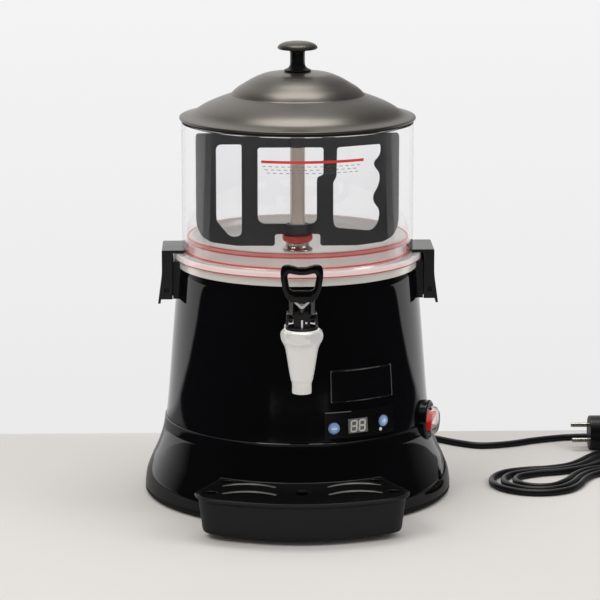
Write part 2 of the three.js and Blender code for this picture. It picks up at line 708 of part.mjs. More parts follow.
const shoulderRadius = 20.7;
const shoulderHeight = 9;
const nozzleTopRadius = 16.5;
const nozzleTipRadius = 9.5;
const nozzleTipLength = 10;
const nozzleBore = 6.5;
const chamberRadius = 12;
const seatDrop = 23;
const seatHeight = tapShoulderHeight - seatDrop;
const shoulderChamfer = 2;
const shoulderLow = tapShoulderHeight - shoulderHeight;
const nozzleBody = revolve([
  [0, nozzleTipHeight],
  [nozzleTipRadius, nozzleTipHeight],
  [nozzleTipRadius, nozzleTipHeight + nozzleTipLength],
  [nozzleTipRadius + shoulderChamfer / 2, nozzleTipHeight + nozzleTipLength + shoulderChamfer / 2],
  [nozzleTopRadius, shoulderLow - 3 * shoulderChamfer],
  [nozzleTopRadius + shoulderChamfer, shoulderLow - shoulderChamfer],
  [shoulderRadius, shoulderLow + shoulderChamfer / 2],
  [shoulderRadius, tapShoulderHeight - shoulderChamfer],
  [shoulderRadius - shoulderChamfer / 2, tapShoulderHeight],
  [0, tapShoulderHeight],
], innerSteps);
addPiece(tap, 'tap_body', satinChrome, cut(
  join(nozzleBody, rodBack(bodyBossRadius, 0, bossBack, smallSteps, 0, shankHeight)),
  rodUp(nozzleBore, nozzleTipHeight - overrun, tapShoulderHeight, smallSteps),
  rodUp(chamberRadius, seatHeight, tapShoulderHeight + overrun, innerSteps),
  rodBack(shankRadius + gap, shankFront - gap, bossBack + overrun, smallSteps, 0, shankHeight),
  rodBack(shankBore, 0, bossBack, smallSteps, 0, shankHeight),
));

const bonnetBaseRadius = 16.3;
const bonnetBaseHeight = 4;
const turretHalfWidth = 8.2;
const turretHalfDepth = 8.4;
const turretHeight = 11;
const spigotDepth = 8;
const stemRadius = 2.5;
const pivotRadius = 1.8;
const pivotBehind = 5.4;
const pivotRise = 6;
const cheekClearance = 0.4;
const cheekThickness = 3.8;
const bonnetLow = tapShoulderHeight + gap;
const turretLow = bonnetLow + bonnetBaseHeight;
const turretTop = turretLow + turretHeight;
const pivotHeight = turretLow + pivotRise;
const cheekInner = turretHalfWidth + cheekClearance;
const cheekOuter = cheekInner + cheekThickness;
const turret = block(-turretHalfWidth, turretHalfWidth, -turretHalfDepth, turretHalfDepth, turretLow - gap, turretTop);
addPiece(tap, 'tap_bonnet', satinBlack, cut(
  join(
    rodUp(bonnetBaseRadius, bonnetLow, turretLow, innerSteps),
    rodUp(chamberRadius - gap, bonnetLow - spigotDepth, bonnetLow + gap, innerSteps),
    turret,
  ),
  rodUp(stemRadius + gap, bonnetLow - spigotDepth - overrun, turretTop + overrun, smallSteps),
  rodAcross(pivotRadius + gap, -turretHalfWidth - overrun, turretHalfWidth + overrun, smallSteps, pivotBehind, pivotHeight),
));
const pivotEnd = cheekOuter + gap;
addPiece(tap, 'tap_pivot_pin', brushedSteel, rodAcross(pivotRadius, -pivotEnd, pivotEnd, smallSteps, pivotBehind, pivotHeight));

// Stem with a small head above the turret and a silicone cup on the seat
const stemLift = 4;
const headRadius = 3.6;
const headTipRadius = 2.4;
const headHeight = 9;
const cupRadius = 9.5;
const cupHeight = 7;
const stemFoot = seatHeight + gap + cupHeight / 2;
const headTop = turretTop + headHeight;
addPiece(tap, 'tap_stem', brushedSteel, revolve([
  [0, stemFoot],
  [stemRadius, stemFoot],
  [stemRadius, turretTop + stemLift],
  [headRadius, headTop - headRadius],
  [headRadius, headTop - stemRadius / 2],
  [headTipRadius, headTop],
  [0, headTop],
], smallSteps));
const cupLow = seatHeight + gap;
addPiece(tap, 'tap_seal', redSilicone, revolve([
  [0, cupLow],
  [cupRadius - sealThickness, cupLow],
  [cupRadius, cupLow + sealThickness],
  [cupRadius, cupLow + cupHeight / 2],
  [stemRadius + 2 * sealThickness, cupLow + cupHeight],
  [stemRadius + gap, cupLow + cupHeight],
  [stemRadius + gap, stemFoot - gap],
  [0, stemFoot - gap],
], smallSteps));

// Lever: two cheeks on the pivot and a finger loop above them
const leverHalfWidth = 20.9;
const leverRiseAbove = 64.5;
const leverHigh = tapShoulderHeight + leverRiseAbove;
const leverThickness = 5;
const leverFront = 6.5;
const cheekRound = 5.4;
const leverLow = headTop + 2 * stemRadius / 3;
const leverRise = leverHigh - leverLow;
const leverPoint = ([acrossShare, upShare]) => [acrossShare * leverHalfWidth, leverLow + upShare * leverRise];
const mirrored = (shares) => [...shares, ...shares.map(([across, up]) => [-across, up]).reverse()];
const cheekShare = cheekOuter / leverHalfWidth;
const leverEdgeShares = mirrored([
  [cheekShare, 0], [0.62, 0.06], [0.76, 0.17], [0.9, 0.38], [0.985, 0.62], [1, 0.82], [0.95, 0.93],
  [0.82, 0.99], [0.62, 1], [0.4, 0.97], [0.2, 0.94],
]);
const leverWindowShares = mirrored([
  [0.54, 0.34], [0.575, 0.36], [0.665, 0.72], [0.655, 0.76], [0.6, 0.775], [0.35, 0.75], [0.15, 0.735],
]);
const leverShape = shapeOf(leverEdgeShares.map(leverPoint));
leverShape.holes.push(shapeOf(leverWindowShares.map(leverPoint)));
const strapInner = -(leverFront - leverThickness);
const cheekOutline = [];
const cheekArcSteps = 9;
for (let i = 0; i <= cheekArcSteps; i += 1) {
  const angle = quarterTurn * 2 * (i / cheekArcSteps) - quarterTurn * 2;
  cheekOutline.push([pivotBehind + cheekRound * Math.cos(angle), pivotHeight + cheekRound * Math.sin(angle)]);
}
cheekOutline.push([strapInner + leverThickness, leverLow]);
cheekOutline.push([strapInner, leverLow + leverThickness]);
cheekOutline.push([-leverFront, leverLow + leverThickness]);
cheekOutline.push([-leverFront, turretTop]);
const leverParts = [uprightPlate(leverShape, -leverFront, strapInner)];
for (const side of [-1, 1]) {
  const faces = [side * cheekInner, side * cheekOuter].sort((a, b) => a - b);
  leverParts.push(sidePlate(cheekOutline, ...faces));
}
addPiece(tap, 'tap_lever', satinBlack, cut(
  join(...leverParts),
  rodAcross(pivotRadius + gap, -pivotEnd - overrun, pivotEnd + overrun, smallSteps, pivotBehind, pivotHeight),
));

// Latches: a bracket on the shell with its two trunnions, and a channel that hooks over the
// bowl's flange
const latchHalfWidth = 28;
const latchSheet = 2.6;
const latchStand = 15.9;
const latchFlare = 4.2;
const latchOuter = ringRadius + latchStand;
const latchTailOuter = latchOuter + latchFlare;
const latchRise = 19.5;
const kneeDrop = 6;
const tailDrop = 35.6;
const cheekDrop = 31.2;
const latchTop = shellTopHeight + latchRise;
const latchKnee = shellTopHeight - kneeDrop;
const latchTailLow = shellTopHeight - tailDrop;
const cheekLow = shellTopHeight - cheekDrop;
const cheekStand = 5.2;
const pinStand = 11.2;
const cheekInnerPlace = ringRadius + cheekStand;
const latchPinX = ringRadius + pinStand;
const latchPinDrop = 21.7;
const latchPinHeight = shellTopHeight - latchPinDrop;
const latchPinRadius = 2;
const bracketEarRadius = 3.7;
const bracketEarThickness = 4.5;
const bracketStandOut = 4.8;
const bracketOuter = ringRadius + bracketStandOut;
const bracketHalf = 24.5;
const bracketRise = 7.2;
const bracketTop = shellTopHeight + bracketRise;
const latchPlateLow = flangeTop + gap;
const earSteps = 8;
// The outer half of a circle, from its lowest point to its highest
function halfRound(x, z, radius) {
  return Array.from({ length: earSteps + 1 }, (unused, i) => {
    const angle = quarterTurn * ((2 * i) / earSteps - 1);
    return [x + radius * Math.cos(angle), z + radius * Math.sin(angle)];
  });
}
for (const [side, name] of [[-1, 'left'], [1, 'right']]) {
  const sided = (outline) => outline.map(([x, z]) => [side * x, z]);
  const channel = sided([
    [bowlRadius - overrun, latchPlateLow],
    [bowlRadius - overrun, latchTop],
    [latchOuter - flangeFillet, latchTop],
    [latchOuter, latchTop - flangeFillet],
    [latchOuter, latchKnee],
    [latchTailOuter, latchTailLow],
    [latchTailOuter - latchSheet, latchTailLow],
    [latchOuter - latchSheet, latchKnee],
    [latchOuter - latchSheet, latchPlateLow],
  ]);
  const cheek = sided([
    [cheekInnerPlace, latchPlateLow + gap],
    [latchOuter - latchSheet / 2, latchPlateLow + gap],
    [latchOuter - latchSheet / 2, latchKnee],
    [latchTailOuter - latchSheet, cheekLow],
    [cheekInnerPlace, cheekLow],
  ]);
  const pinReach = latchHalfWidth + 1;
  const pinHole = rodBack(latchPinRadius + gap, -pinReach, pinReach, smallSteps, side * latchPinX, latchPinHeight);
  addPiece(machine, `latch_${name}`, satinBlack, cut(
    join(
      uprightPlate(channel, -latchHalfWidth, latchHalfWidth),
      uprightPlate(cheek, -latchHalfWidth, latchSheet - latchHalfWidth),
      uprightPlate(cheek, latchHalfWidth - latchSheet, latchHalfWidth),
    ),
    rodUp(bowlRadius + runningGap, latchPlateLow - overrun, latchTop + overrun, roundSteps),
    pinHole,
  ));
  const pinEnd = latchHalfWidth - gap;
  const pinRoot = bracketHalf - bracketEarThickness / 2;
  const trunnion = (front, back) => rodBack(latchPinRadius, front, back, smallSteps, side * latchPinX, latchPinHeight);
  const back = sided([
    [bowlRadius - overrun, bracketTop],
    [bracketOuter, bracketTop],
    [bracketOuter, cheekLow],
    [bowlRadius - overrun, cheekLow],
  ]);
  const earRound = halfRound(latchPinX, latchPinHeight, bracketEarRadius);
  const ear = sided([
    [bracketOuter - latchSheet, latchPinHeight - 2 * bracketEarRadius],
    ...earRound,
    [bracketOuter - latchSheet, latchPinHeight + 2 * bracketEarRadius],
  ]);
  const earFaces = [bracketHalf - bracketEarThickness, bracketHalf];
  addPiece(machine, `latch_bracket_${name}`, satinBlack, cut(
    join(
      uprightPlate(back, -bracketHalf, bracketHalf),
      uprightPlate(ear, -earFaces[1], -earFaces[0]),
      uprightPlate(ear, ...earFaces),
      trunnion(-pinEnd, -pinRoot),
      trunnion(pinRoot, pinEnd),
    ),
    bodyInside(shellProfile, gap),
    rodUp(ringRadius + gap, ringBottom - gap, ringTop + gap, roundSteps),
  ));
}

// Lid: a stepped dome with a rolled flange, its gasket, knob and knob screw
const lidSheet = 1.5;
const lidCentreRise = 50.5;
const flangeTopRise = 7;
const flangeLowRise = 3;
const lidCreaseRise = 27.5;
const lidCentreHeight = bowlTopHeight + lidCentreRise;
const lidFlangeTop = bowlTopHeight + flangeTopRise;
const lidFlangeLow = bowlTopHeight + flangeLowRise;
const creaseShare = 0.56667;
const lidCreaseRadius = lidRadius * creaseShare;
const lidCreaseHeight = bowlTopHeight + lidCreaseRise;
const lidFlangeWidth = 11;
const flangeInnerRadius = lidRadius - lidFlangeWidth;
const gasketWidth = 6.7;
const gasketInset = 1.3;
const domeShares = [[1, 0], [0.93, 0.19], [0.85, 0.365], [0.75, 0.54], [0.6, 0.76], [0.455, 0.91], [0.22, 0.985]];
const apronShares = [[1, 0], [0.91, 0.09], [0.8, 0.28], [0.6, 0.54], [0.34, 0.78], [0, 1]];
const creaseDip = 1.4;
const apronTop = [
  ...apronShares.map(([acrossShare, upShare]) => [
    lidCreaseRadius + creaseDip + acrossShare * (flangeInnerRadius - lidCreaseRadius - creaseDip),
    lidFlangeTop + upShare * (lidCreaseHeight - creaseDip - lidFlangeTop),
  ]),
];
const domeTop = domeShares.map(([acrossShare, upShare]) => [
  acrossShare * lidCreaseRadius,
  lidCreaseHeight + upShare * (lidCentreHeight - lidCreaseHeight),
]);
const lidUpper = [[lidRadius - lidSheet / 2, lidFlangeTop - gap], ...apronTop, ...domeTop];
const screwHole = 3;
const lidUnder = [...apronTop, ...domeTop].filter((point, i) => i % 3 === 0)
  .map(([radius, height]) => [radius - lidSheet / 2, height - lidSheet]).reverse();
addPiece(machine, 'lid_dome', graphiteLid, revolve([
  [lidRadius - lidSheet, lidFlangeLow],
  [lidRadius, lidFlangeLow],
  [lidRadius, lidFlangeTop - lidSheet],
  ...lidUpper,
  [screwHole, lidCentreHeight],
  [screwHole, lidCentreHeight - lidSheet],
  ...lidUnder,
  [lidRadius - lidSheet, lidFlangeTop - gap - lidSheet],
], roundSteps));
const gasketOuter = lidRadius - lidSheet - gap;
addPiece(machine, 'lid_gasket', trimRubber, revolve([
  [gasketOuter - gasketWidth, bowlTopHeight + gap],
  [gasketOuter - gasketInset, bowlTopHeight + gap],
  [gasketOuter, bowlTopHeight + gasketInset],
  [gasketOuter, lidFlangeTop - lidSheet - 2 * gap],
  [gasketOuter - gasketWidth, lidFlangeTop - lidSheet - 2 * gap],
], roundSteps));
const knobRadius = 20.3;
const knobStemRadius = 7.6;
const knobFootRadius = 15;
const knobFootHeight = 3.5;
const knobCapHeight = 9.3;
const knobCapShares = [[0.936, 1], [1, 0.8], [0.936, 0.5], [0.7, 0.167]];
const knobScrewDepth = 16;
const screwRadius = 2.2;
const screwHeadRadius = 5;
const screwHeadHeight = 2.5;
const knobLow = lidCentreHeight + gap;
const knobScrewTop = knobLow + knobScrewDepth;
addPiece(machine, 'lid_knob', satinBlack, revolve([
  [screwRadius + gap, knobLow],
  [knobFootRadius, knobLow],
  [knobStemRadius + gap, knobLow + knobFootHeight],
  [knobStemRadius, knobLow + 2 * knobFootHeight],
  [knobStemRadius, overallHeight - knobCapHeight],
  ...knobCapShares.map(([radiusShare, dropShare]) => [
    knobRadius * radiusShare,
    overallHeight - dropShare * knobCapHeight,
  ]),
  [0, overallHeight],
  [0, knobScrewTop + gap],
  [screwRadius + gap, knobScrewTop + gap],
], innerSteps));
const screwHeadTop = lidCentreHeight - lidSheet - gap;
addPiece(machine, 'lid_knob_screw', brushedSteel, revolve([
  [0, screwHeadTop - screwHeadHeight],
  [screwHeadRadius, screwHeadTop - screwHeadHeight],
  [screwHeadRadius, screwHeadTop],
  [screwRadius, screwHeadTop],
  [screwRadius, knobScrewTop],
  [0, knobScrewTop],
], smallSteps));

// Drip tray: drafted walls whose back follows the flare, a ledge for the grate, two tongues
const trayHalfBack = 80;
const trayHalfWide = 106;
const trayHalfFront = 96;
const trayWideStand = 23;
const trayFrontStand = 47;
const trayWideReach = baseRadius + trayWideStand;
const trayFrontReach = baseRadius + trayFrontStand;
const trayCornerRound = 5;
const trayWall = 2.5;
const trayLedge = 3;
const trayDraftAcross = 0.95;
const trayDraftFront = 0.9;
const trayFloor = 2.5;
const grateThickness = 3;
const trayFrontCurve = [[1, 0], [0.8, 0.34], [0.55, 0.66], [0.28, 0.91], [0, 1]];
const trayBackShare = 0.7;
const trayBackReach = baseRadius * trayBackShare;
function trayOutline(inset) {
  const half = [
    [trayHalfBack - inset, -trayBackReach],
    [trayHalfBack + trayCornerRound / 2 - inset, -(trayWideReach + trayBackReach * 2) / 3],
    [trayHalfWide - trayCornerRound / 2 - inset, -(trayWideReach - trayCornerRound)],
    [trayHalfWide - inset, -trayWideReach],
    [trayHalfWide - trayCornerRound / 2 - inset, -(trayWideReach + trayFrontReach) / 2],
    ...trayFrontCurve.map(([acrossShare, forwardShare]) => [
      acrossShare * (trayHalfFront - inset),
      inset - trayFrontReach - forwardShare * (trayReach - trayFrontReach),
    ]),
  ];
  const otherHalf = half.slice(0, -1).map(([x, y]) => [-x, y]).reverse();
  return [...half, ...otherHalf];
}
// A plate whose lower edge is drawn in towards a line near the housing, as moulded walls are
function drafted(outline, low, high) {
  const shape = plate(outline, low, high);
  const places = shape.attributes.position;
  for (let i = 0; i < places.count; i += 1) {
    const downShare = (trayHigh - places.getZ(i)) / (trayHigh - trayLow);
    const across = 1 - downShare * (1 - trayDraftAcross);
    const forward = 1 - downShare * (1 - trayDraftFront);
    places.setX(i, places.getX(i) * across);
    places.setY(i, (places.getY(i) + trayWideReach) * forward - trayWideReach);
  }
  return shape;
}
const grateLow = trayHigh - grateThickness - gap;
const downToTable = [[baseRadius, 0], ...skirtProfile];
const skirtKeepOut = bodyInside(downToTable, trayBackGap);
const skirtWallKeepOut = bodyInside(downToTable, trayBackGap + trayWall);
const skirtLedgeKeepOut = bodyInside(downToTable, trayBackGap + trayWall + trayLedge);
const trayHollow = cut(drafted(trayOutline(trayWall + trayLedge), trayLow + trayFloor, trayHigh + overrun), skirtLedgeKeepOut);
const traySeat = cut(drafted(trayOutline(trayWall), grateLow - gap, trayHigh + overrun), skirtWallKeepOut);
const trayShell = cut(drafted(trayOutline(0), trayLow, trayHigh), skirtKeepOut, trayHollow, traySeat);
const tongueFront = -(radiusAt(skirtProfile, tongueHeight) + trayWall);
const tongues = [-1, 1].map((side) => tongue(side, 0, tongueFront, tongueInner));
addPiece(machine, 'drip_tray', satinBlack, join(trayShell, ...tongues));
const grateInset = trayWall + gap;
const drainRadius = 7.5;
const drainStand = 26;
const drainPlace = baseRadius + drainStand;
const cornerHoleRadius = 4.5;
const cornerHoleStretch = 1.5;
const rearHoleAcross = 73;
const rearHoleSetback = 17.5;
const frontHoleAcross = 90;
const frontHoleStand = 22;
const cornerHoles = [
  [rearHoleAcross, baseRadius - rearHoleSetback],
  [frontHoleAcross, baseRadius + frontHoleStand],
];
const arcRadius = 37.5;
const arcWidth = 4;
const arcAcross = 55;
const rearArcStand = 28;
const frontArcStand = 56;
const arcPlaces = [rearArcStand, frontArcStand].map((stand) => [arcAcross, baseRadius + stand]);
const arcFromDegrees = 38;
const arcToDegrees = 128;
const arcSteps = 6;
const arcSlot = (side, across, forward) => {
  const inner = [];
  const outer = [];
  for (let i = 0; i <= arcSteps; i += 1) {
    const angle = THREE.MathUtils.degToRad(arcFromDegrees + ((arcToDegrees - arcFromDegrees) * i) / arcSteps);
    const [x, y] = [-Math.cos(angle) * side, Math.sin(angle)];
    inner.push([side * across + x * (arcRadius - arcWidth), -forward + y * (arcRadius - arcWidth)]);
    outer.push([side * across + x * arcRadius, -forward + y * arcRadius]);
  }
  return plate([...outer, ...inner.reverse()], grateLow - overrun, trayHigh + overrun);
};
const grateCuts = [rodUp(drainRadius, grateLow - overrun, trayHigh + overrun, tinySteps, 0, -drainPlace)];
for (const side of [-1, 1]) {
  for (const [across, forward] of cornerHoles) {
    const hole = rodUp(cornerHoleRadius, grateLow - overrun, trayHigh + overrun, pipeSides);
    grateCuts.push(hole.scale(cornerHoleStretch, 1, 1).translate(side * across, -forward, 0));
  }
  for (const [across, forward] of arcPlaces) grateCuts.push(arcSlot(side, across, forward));
}
addPiece(machine, 'drip_grate', glossBlack, cut(
  drafted(trayOutline(grateInset), grateLow, trayHigh - gap),
  bodyInside(skirtProfile, trayBackGap + trayWall + gap),
  ...grateCuts,
));

// Control panel: film plate, display, lamp, two buttons and a bare plate above
const degrees = THREE.MathUtils.degToRad;
const panelSpan = [10, 43.5].map(degrees);
const panelLow = 84.2;
const panelHigh = 110.6;
const panelHeights = [panelLow, panelHigh];
const displaySpan = [20.4, 29.6].map(degrees);
const displayLow = 88.4;
const displayHigh = 102.8;
const displayHeights = [displayLow, displayHigh];
const badgeSpan = [12.7, 44.3].map(degrees);
const badgeLow = 119.7;
const badgeHigh = 152.6;
const badgeHeights = [badgeLow, badgeHigh];
const filmThickness = 0.9;
const displayThickness = 1.2;
const badgeThickness = 0.8;
const buttonStand = 2.2;
const buttonTravel = 0.8;
const buttonDepth = 12;
const wedgeReachShare = 1.2;
function shellPatch([from, to], [low, high], inner, outer, clearance = 0) {
  const skin = cut(bodyInside(shellProfile, outer), bodyInside(shellProfile, inner));
  const spread = clearance / shellBottomRadius;
  const middle = (from + to) / 2;
  const far = (baseRadius * wedgeReachShare) / Math.cos((to - from) / 2);
  const corner = (azimuth) => [far * Math.sin(azimuth), -far * Math.cos(azimuth)];
  const wedge = [[0, 0], corner(from - spread), corner(middle), corner(to + spread)];
  return common(skin, plate(wedge, low - clearance, high + clearance));
}
const panelOuter = gap + filmThickness;
const displayCut = shellPatch(displaySpan, displayHeights, 0, displayThickness + gap, gap);
addPiece(machine, 'panel_plate', panelFilm, cut(
  shellPatch(panelSpan, panelHeights, gap, panelOuter),
  displayCut,
  ...panelHoles,
));
addPiece(machine, 'display_window', displayGlass, shellPatch(displaySpan, displayHeights, gap, gap + displayThickness));
addPiece(machine, 'badge_plate', glossBlack, shellPatch(badgeSpan, badgeHeights, gap, gap + badgeThickness));
const lampSurface = radiusAt(shellProfile, lampHeight);
addPiece(machine, 'indicator_lamp', lampLens, rodOut(lampRadius, lampAzimuth, lampHeight, lampSurface - housingWall * 2, lampSurface + panelOuter + gap, tinySteps));
const buttonNames = ['button_left', 'button_right'];
buttonAzimuths.forEach((azimuth, i) => {
  const surface = radiusAt(shellProfile, buttonHeights[i]);
  const button = rodOut(buttonRadius, azimuth, buttonHeights[i], surface - buttonDepth, surface + buttonStand, smallSteps);
  addPiece(machine, buttonNames[i], buttonBlue, button);
});

// Control board behind the panel, on posts that reach the shell's inside
const boardAzimuth = (buttonAzimuths[0] + buttonAzimuths[1]) / 2;
const boardHalfHeight = 16;
const boardThickness = 1.6;
const postRadius = 3;
const postClearance = 8.6;
const boardMargin = 6;
const boardHeight = 98;
const buttonTurn = buttonAzimuths[1] - boardAzimuth;
const buttonInner = radiusAt(shellProfile, buttonHeights[1]) - buttonDepth;
const buttonEnd = buttonInner * Math.cos(buttonTurn) - buttonRadius * Math.sin(buttonTurn);
const boardFar = buttonEnd - 2 * buttonTravel;
const postAcross = buttonInner * Math.sin(buttonTurn) + postClearance;
const boardHalfWidth = postAcross + boardMargin;
const boardNear = boardFar - boardThickness;
const [boardLow, boardHigh] = [boardHeight - boardHalfHeight, boardHeight + boardHalfHeight];
const posts = [];
for (const side of [-1, 1]) {
  for (const up of [-1, 1]) {
    const postHeight = boardHeight + up * (boardHalfHeight - 2 * postRadius);
    posts.push(rodBack(postRadius, -housingFar, -boardNear, tinySteps, side * postAcross, postHeight));
  }
}
const boardBlank = join(block(-boardHalfWidth, boardHalfWidth, -boardFar, -boardNear, boardLow, boardHigh), ...posts);
const boardTurned = geometryOf(boardBlank).rotateZ(boardAzimuth);
addPiece(machine, 'control_board', boardGreen, common(boardTurned, bodyInside(shellProfile, -housingWall - gap)));

// Rocker switch under a clear cover, on the right, across the seam
const bezelRadius = 20.7;
const bezelStand = 4.5;
const bezelNeckDepth = 12;
const rockerHalfHeight = 9.3;
const rockerHalfWidth = 6;
const rockerDepth = 9;
const rockerSwing = THREE.MathUtils.degToRad(8);
const rockerWindow = 1.2;
const rockerPinRadius = 1.6;
const coverRadius = 14.6;
const coverStand = 9.2;
const coverWall = 1.2;
const switchHousingDepth = 22;
const switchBodyWidthShare = 0.7;
const switchBodyHeightShare = 0.8;
const neckInset = 1;
const switchFace = radiusAt(skirtProfile, switchHeight) + bezelStand;
const rockerCentre = switchFace - bezelStand / 2;
const seatInner = switchFace - bezelNeckDepth;
const switchFrame = new THREE.Group();
switchFrame.rotation.z = switchAzimuth;
machine.add(switchFrame);
const windowHalf = [rockerHalfWidth + rockerWindow, rockerHalfHeight + rockerWindow];
const rockerOpening = block(-windowHalf[0], windowHalf[0], -switchFace - overrun, -seatInner + overrun,
  switchHeight - windowHalf[1], switchHeight + windowHalf[1]);
const unturned = (shape) => geometryOf(shape).rotateZ(-switchAzimuth);
const pinHoleAcross = rodAcross(rockerPinRadius + gap, -switchNeckRadius, switchNeckRadius, tinySteps, -rockerCentre, switchHeight);
const coverGroove = cut(
  rodBack(coverRadius + gap, -switchFace - overrun, coverWall - switchFace, innerSteps, 0, switchHeight),
  rodBack(coverRadius - coverWall - gap, -switchFace - 2 * overrun, 0, innerSteps, 0, switchHeight),
);
addPiece(switchFrame, 'switch_bezel', satinBlack, cut(
  join(
    cut(
      rodBack(bezelRadius, -switchFace, -(switchFace - 3 * bezelStand), innerSteps, 0, switchHeight),
      unturned(bodyInside(shellProfile, gap)),
      unturned(bodyInside(skirtProfile, gap)),
      unturned(rodUp(shellBottomRadius + gap, seamHeight - gap, seamHeight + gap, roundSteps)),
    ),
    rodBack(switchNeckRadius, -switchFace + neckInset, -seatInner, smallSteps, 0, switchHeight),
  ),
  rockerOpening,
  coverGroove,
  pinHoleAcross,
));
const tiltedRocker = block(-rockerHalfWidth, rockerHalfWidth, -rockerDepth / 2, rockerDepth / 4,
  -rockerHalfHeight, rockerHalfHeight);
tiltedRocker.rotateX(rockerSwing).translate(0, -rockerCentre, switchHeight);
addPiece(switchFrame, 'switch_rocker', switchRed, join(
  tiltedRocker,
  rodAcross(rockerPinRadius, -windowHalf[0] - 2 * rockerWindow, windowHalf[0] + 2 * rockerWindow, tinySteps, -rockerCentre, switchHeight),
));
const coverShares = [[1, 0], [1, 0.45], [0.88, 0.8], [0.55, 1], [0, 1.04]];
const coverProfile = coverShares.map(([radiusShare, standShare]) => [
  radiusShare * coverRadius,
  standShare * coverStand,
]);
const coverInside = coverProfile.map(([radius, height]) => [Math.max(0, radius - coverWall), Math.max(0, height - coverWall)]);
const coverSkin = revolve([...coverProfile, ...coverInside.reverse().slice(0, -1), [coverRadius - coverWall, 0]], smallSteps);
coverSkin.rotateX(quarterTurn).translate(0, -switchFace + coverWall - gap, switchHeight);
addPiece(switchFrame, 'switch_cover', clearCover, coverSkin);
addPiece(switchFrame, 'switch_body', satinBlack, block(
  -switchNeckRadius * switchBodyWidthShare, switchNeckRadius * switchBodyWidthShare,
  -seatInner + gap, -seatInner + switchHousingDepth,
  switchHeight - switchNeckRadius * switchBodyHeightShare, switchHeight + switchNeckRadius * switchBodyHeightShare,
));

// Cord grommet in the skirt's back: a flange outside, a collar inside and a tapered sleeve
const cordRadius = 3.5;
const grommetFlangeRadius = 10;
const grommetFlange = 3;
const sleeveLength = 28;
const sleeveTipRadius = 4.6;
const grommetInsideDepth = 6;
const grommetNear = grommetSurface - housingWall - grommetInsideDepth;
const grommetFar = grommetSurface + grommetFlange;
const grommetBlank = revolve([
  [0, 0],
  [grommetNeckRadius, 0],
  [grommetNeckRadius, grommetFar - grommetNear - grommetFlange],
  [grommetFlangeRadius, grommetFar - grommetNear - grommetFlange],
  [grommetFlangeRadius, grommetFar - grommetNear],
  [grommetNeckRadius, grommetFar - grommetNear + gap],
  [sleeveTipRadius, grommetFar - grommetNear + sleeveLength],
  [0, grommetFar - grommetNear + sleeveLength],
], tinySteps).rotateX(quarterTurn).translate(0, -grommetNear, grommetHeight).rotateZ(grommetAzimuth);
const grommetSleeveEnd = grommetFar + sleeveLength;
const collarKeepOut = cut(
  bodyInside(skirtProfile, gap),
  rodOut(grommetNeckRadius, grommetAzimuth, grommetHeight, 0, housingFar, smallSteps),
);
addPiece(machine, 'cord_grommet', trimRubber, cut(
  grommetBlank,
  collarKeepOut,
  rodOut(cordRadius + gap, grommetAzimuth, grommetHeight, 0, grommetSleeveEnd + overrun, tinySteps),
));

// The origin lies under the middle of the machine, its lead left out
machine.position.y = -new THREE.Box3().setFromObject(machine).getCenter(new THREE.Vector3()).y;

// Mains plug on its side: a round body that tapers to the cord, with two pins on its face
const plugRadius = 18.6;
const plugFaceX = 322;
const plugCentreY = 143.7;
const plugStraight = 22;
const plugLength = 48;
const plugTipRadius = 5.2;
const plugPinRadius = 2.4;
const plugPinLength = 19;
const plugPinSpacing = 19;
const plugPinRoll = THREE.MathUtils.degToRad(47);
const plugChamfer = 0.3;
const plugChamferDepth = 1.2;
const plugTaperShares = [[0.75, 0.25], [0.42, 0.55]];
const plugBody = revolve([
  [0, 0],
  [plugRadius - plugChamfer, 0],
  [plugRadius, plugChamferDepth],
  [plugRadius, plugStraight],
  ...plugTaperShares.map(([radiusShare, taperShare]) => [
    plugRadius * radiusShare,
    plugStraight + taperShare * (plugLength - plugStraight),
  ]),
  [plugTipRadius, plugLength],
  [0, plugLength],
], smallSteps);
const plugPins = [-1, 1].map((side) =>
  rodUp(plugPinRadius, -plugPinLength, plugPinRadius, tinySteps, side * plugPinSpacing / 2, 0).rotateZ(plugPinRoll));
const plug = geometryOf(join(plugBody, ...plugPins)).rotateY(quarterTurn);
addPiece(machine, 'mains_plug', plugBlack, plug.translate(plugFaceX, plugCentreY, plugRadius));

// A cord: one unbroken tube whose rings follow a list of centres
function cordTube(centres, sides) {
  const places = [];
  const corners = [];
  const up = new THREE.Vector3(0, 0, 1);
  centres.forEach((centre, i) => {
    const ahead = centres[Math.min(i + 1, centres.length - 1)].clone();
    const along = ahead.sub(centres[Math.max(i - 1, 0)]).normalize();
    const across = new THREE.Vector3().crossVectors(along, up).normalize();
    const rise = new THREE.Vector3().crossVectors(across, along);
    for (let j = 0; j < sides; j += 1) {
      const angle = ((j + 0.5) / sides) * quarterTurn * 4;
      const place = centre.clone().addScaledVector(across, cordRadius * Math.cos(angle));
      places.push(...place.addScaledVector(rise, cordRadius * Math.sin(angle)).toArray());
    }
  });
  const ring = (i, j) => i * sides + (j % sides);
  for (let i = 0; i < centres.length - 1; i += 1) {
    for (let j = 0; j < sides; j += 1) {
      corners.push(ring(i, j), ring(i + 1, j), ring(i + 1, j + 1), ring(i, j), ring(i + 1, j + 1), ring(i, j + 1));
    }
  }
  for (let j = 1; j < sides - 1; j += 1) {
    const last = centres.length - 1;
    corners.push(ring(0, 0), ring(0, j), ring(0, j + 1), ring(last, 0), ring(last, j + 1), ring(last, j));
  }
  const tube = new THREE.BufferGeometry();
  tube.setAttribute('position', new THREE.BufferAttribute(new Float32Array(places), 3));
  tube.setIndex(corners);
  return tube;
}

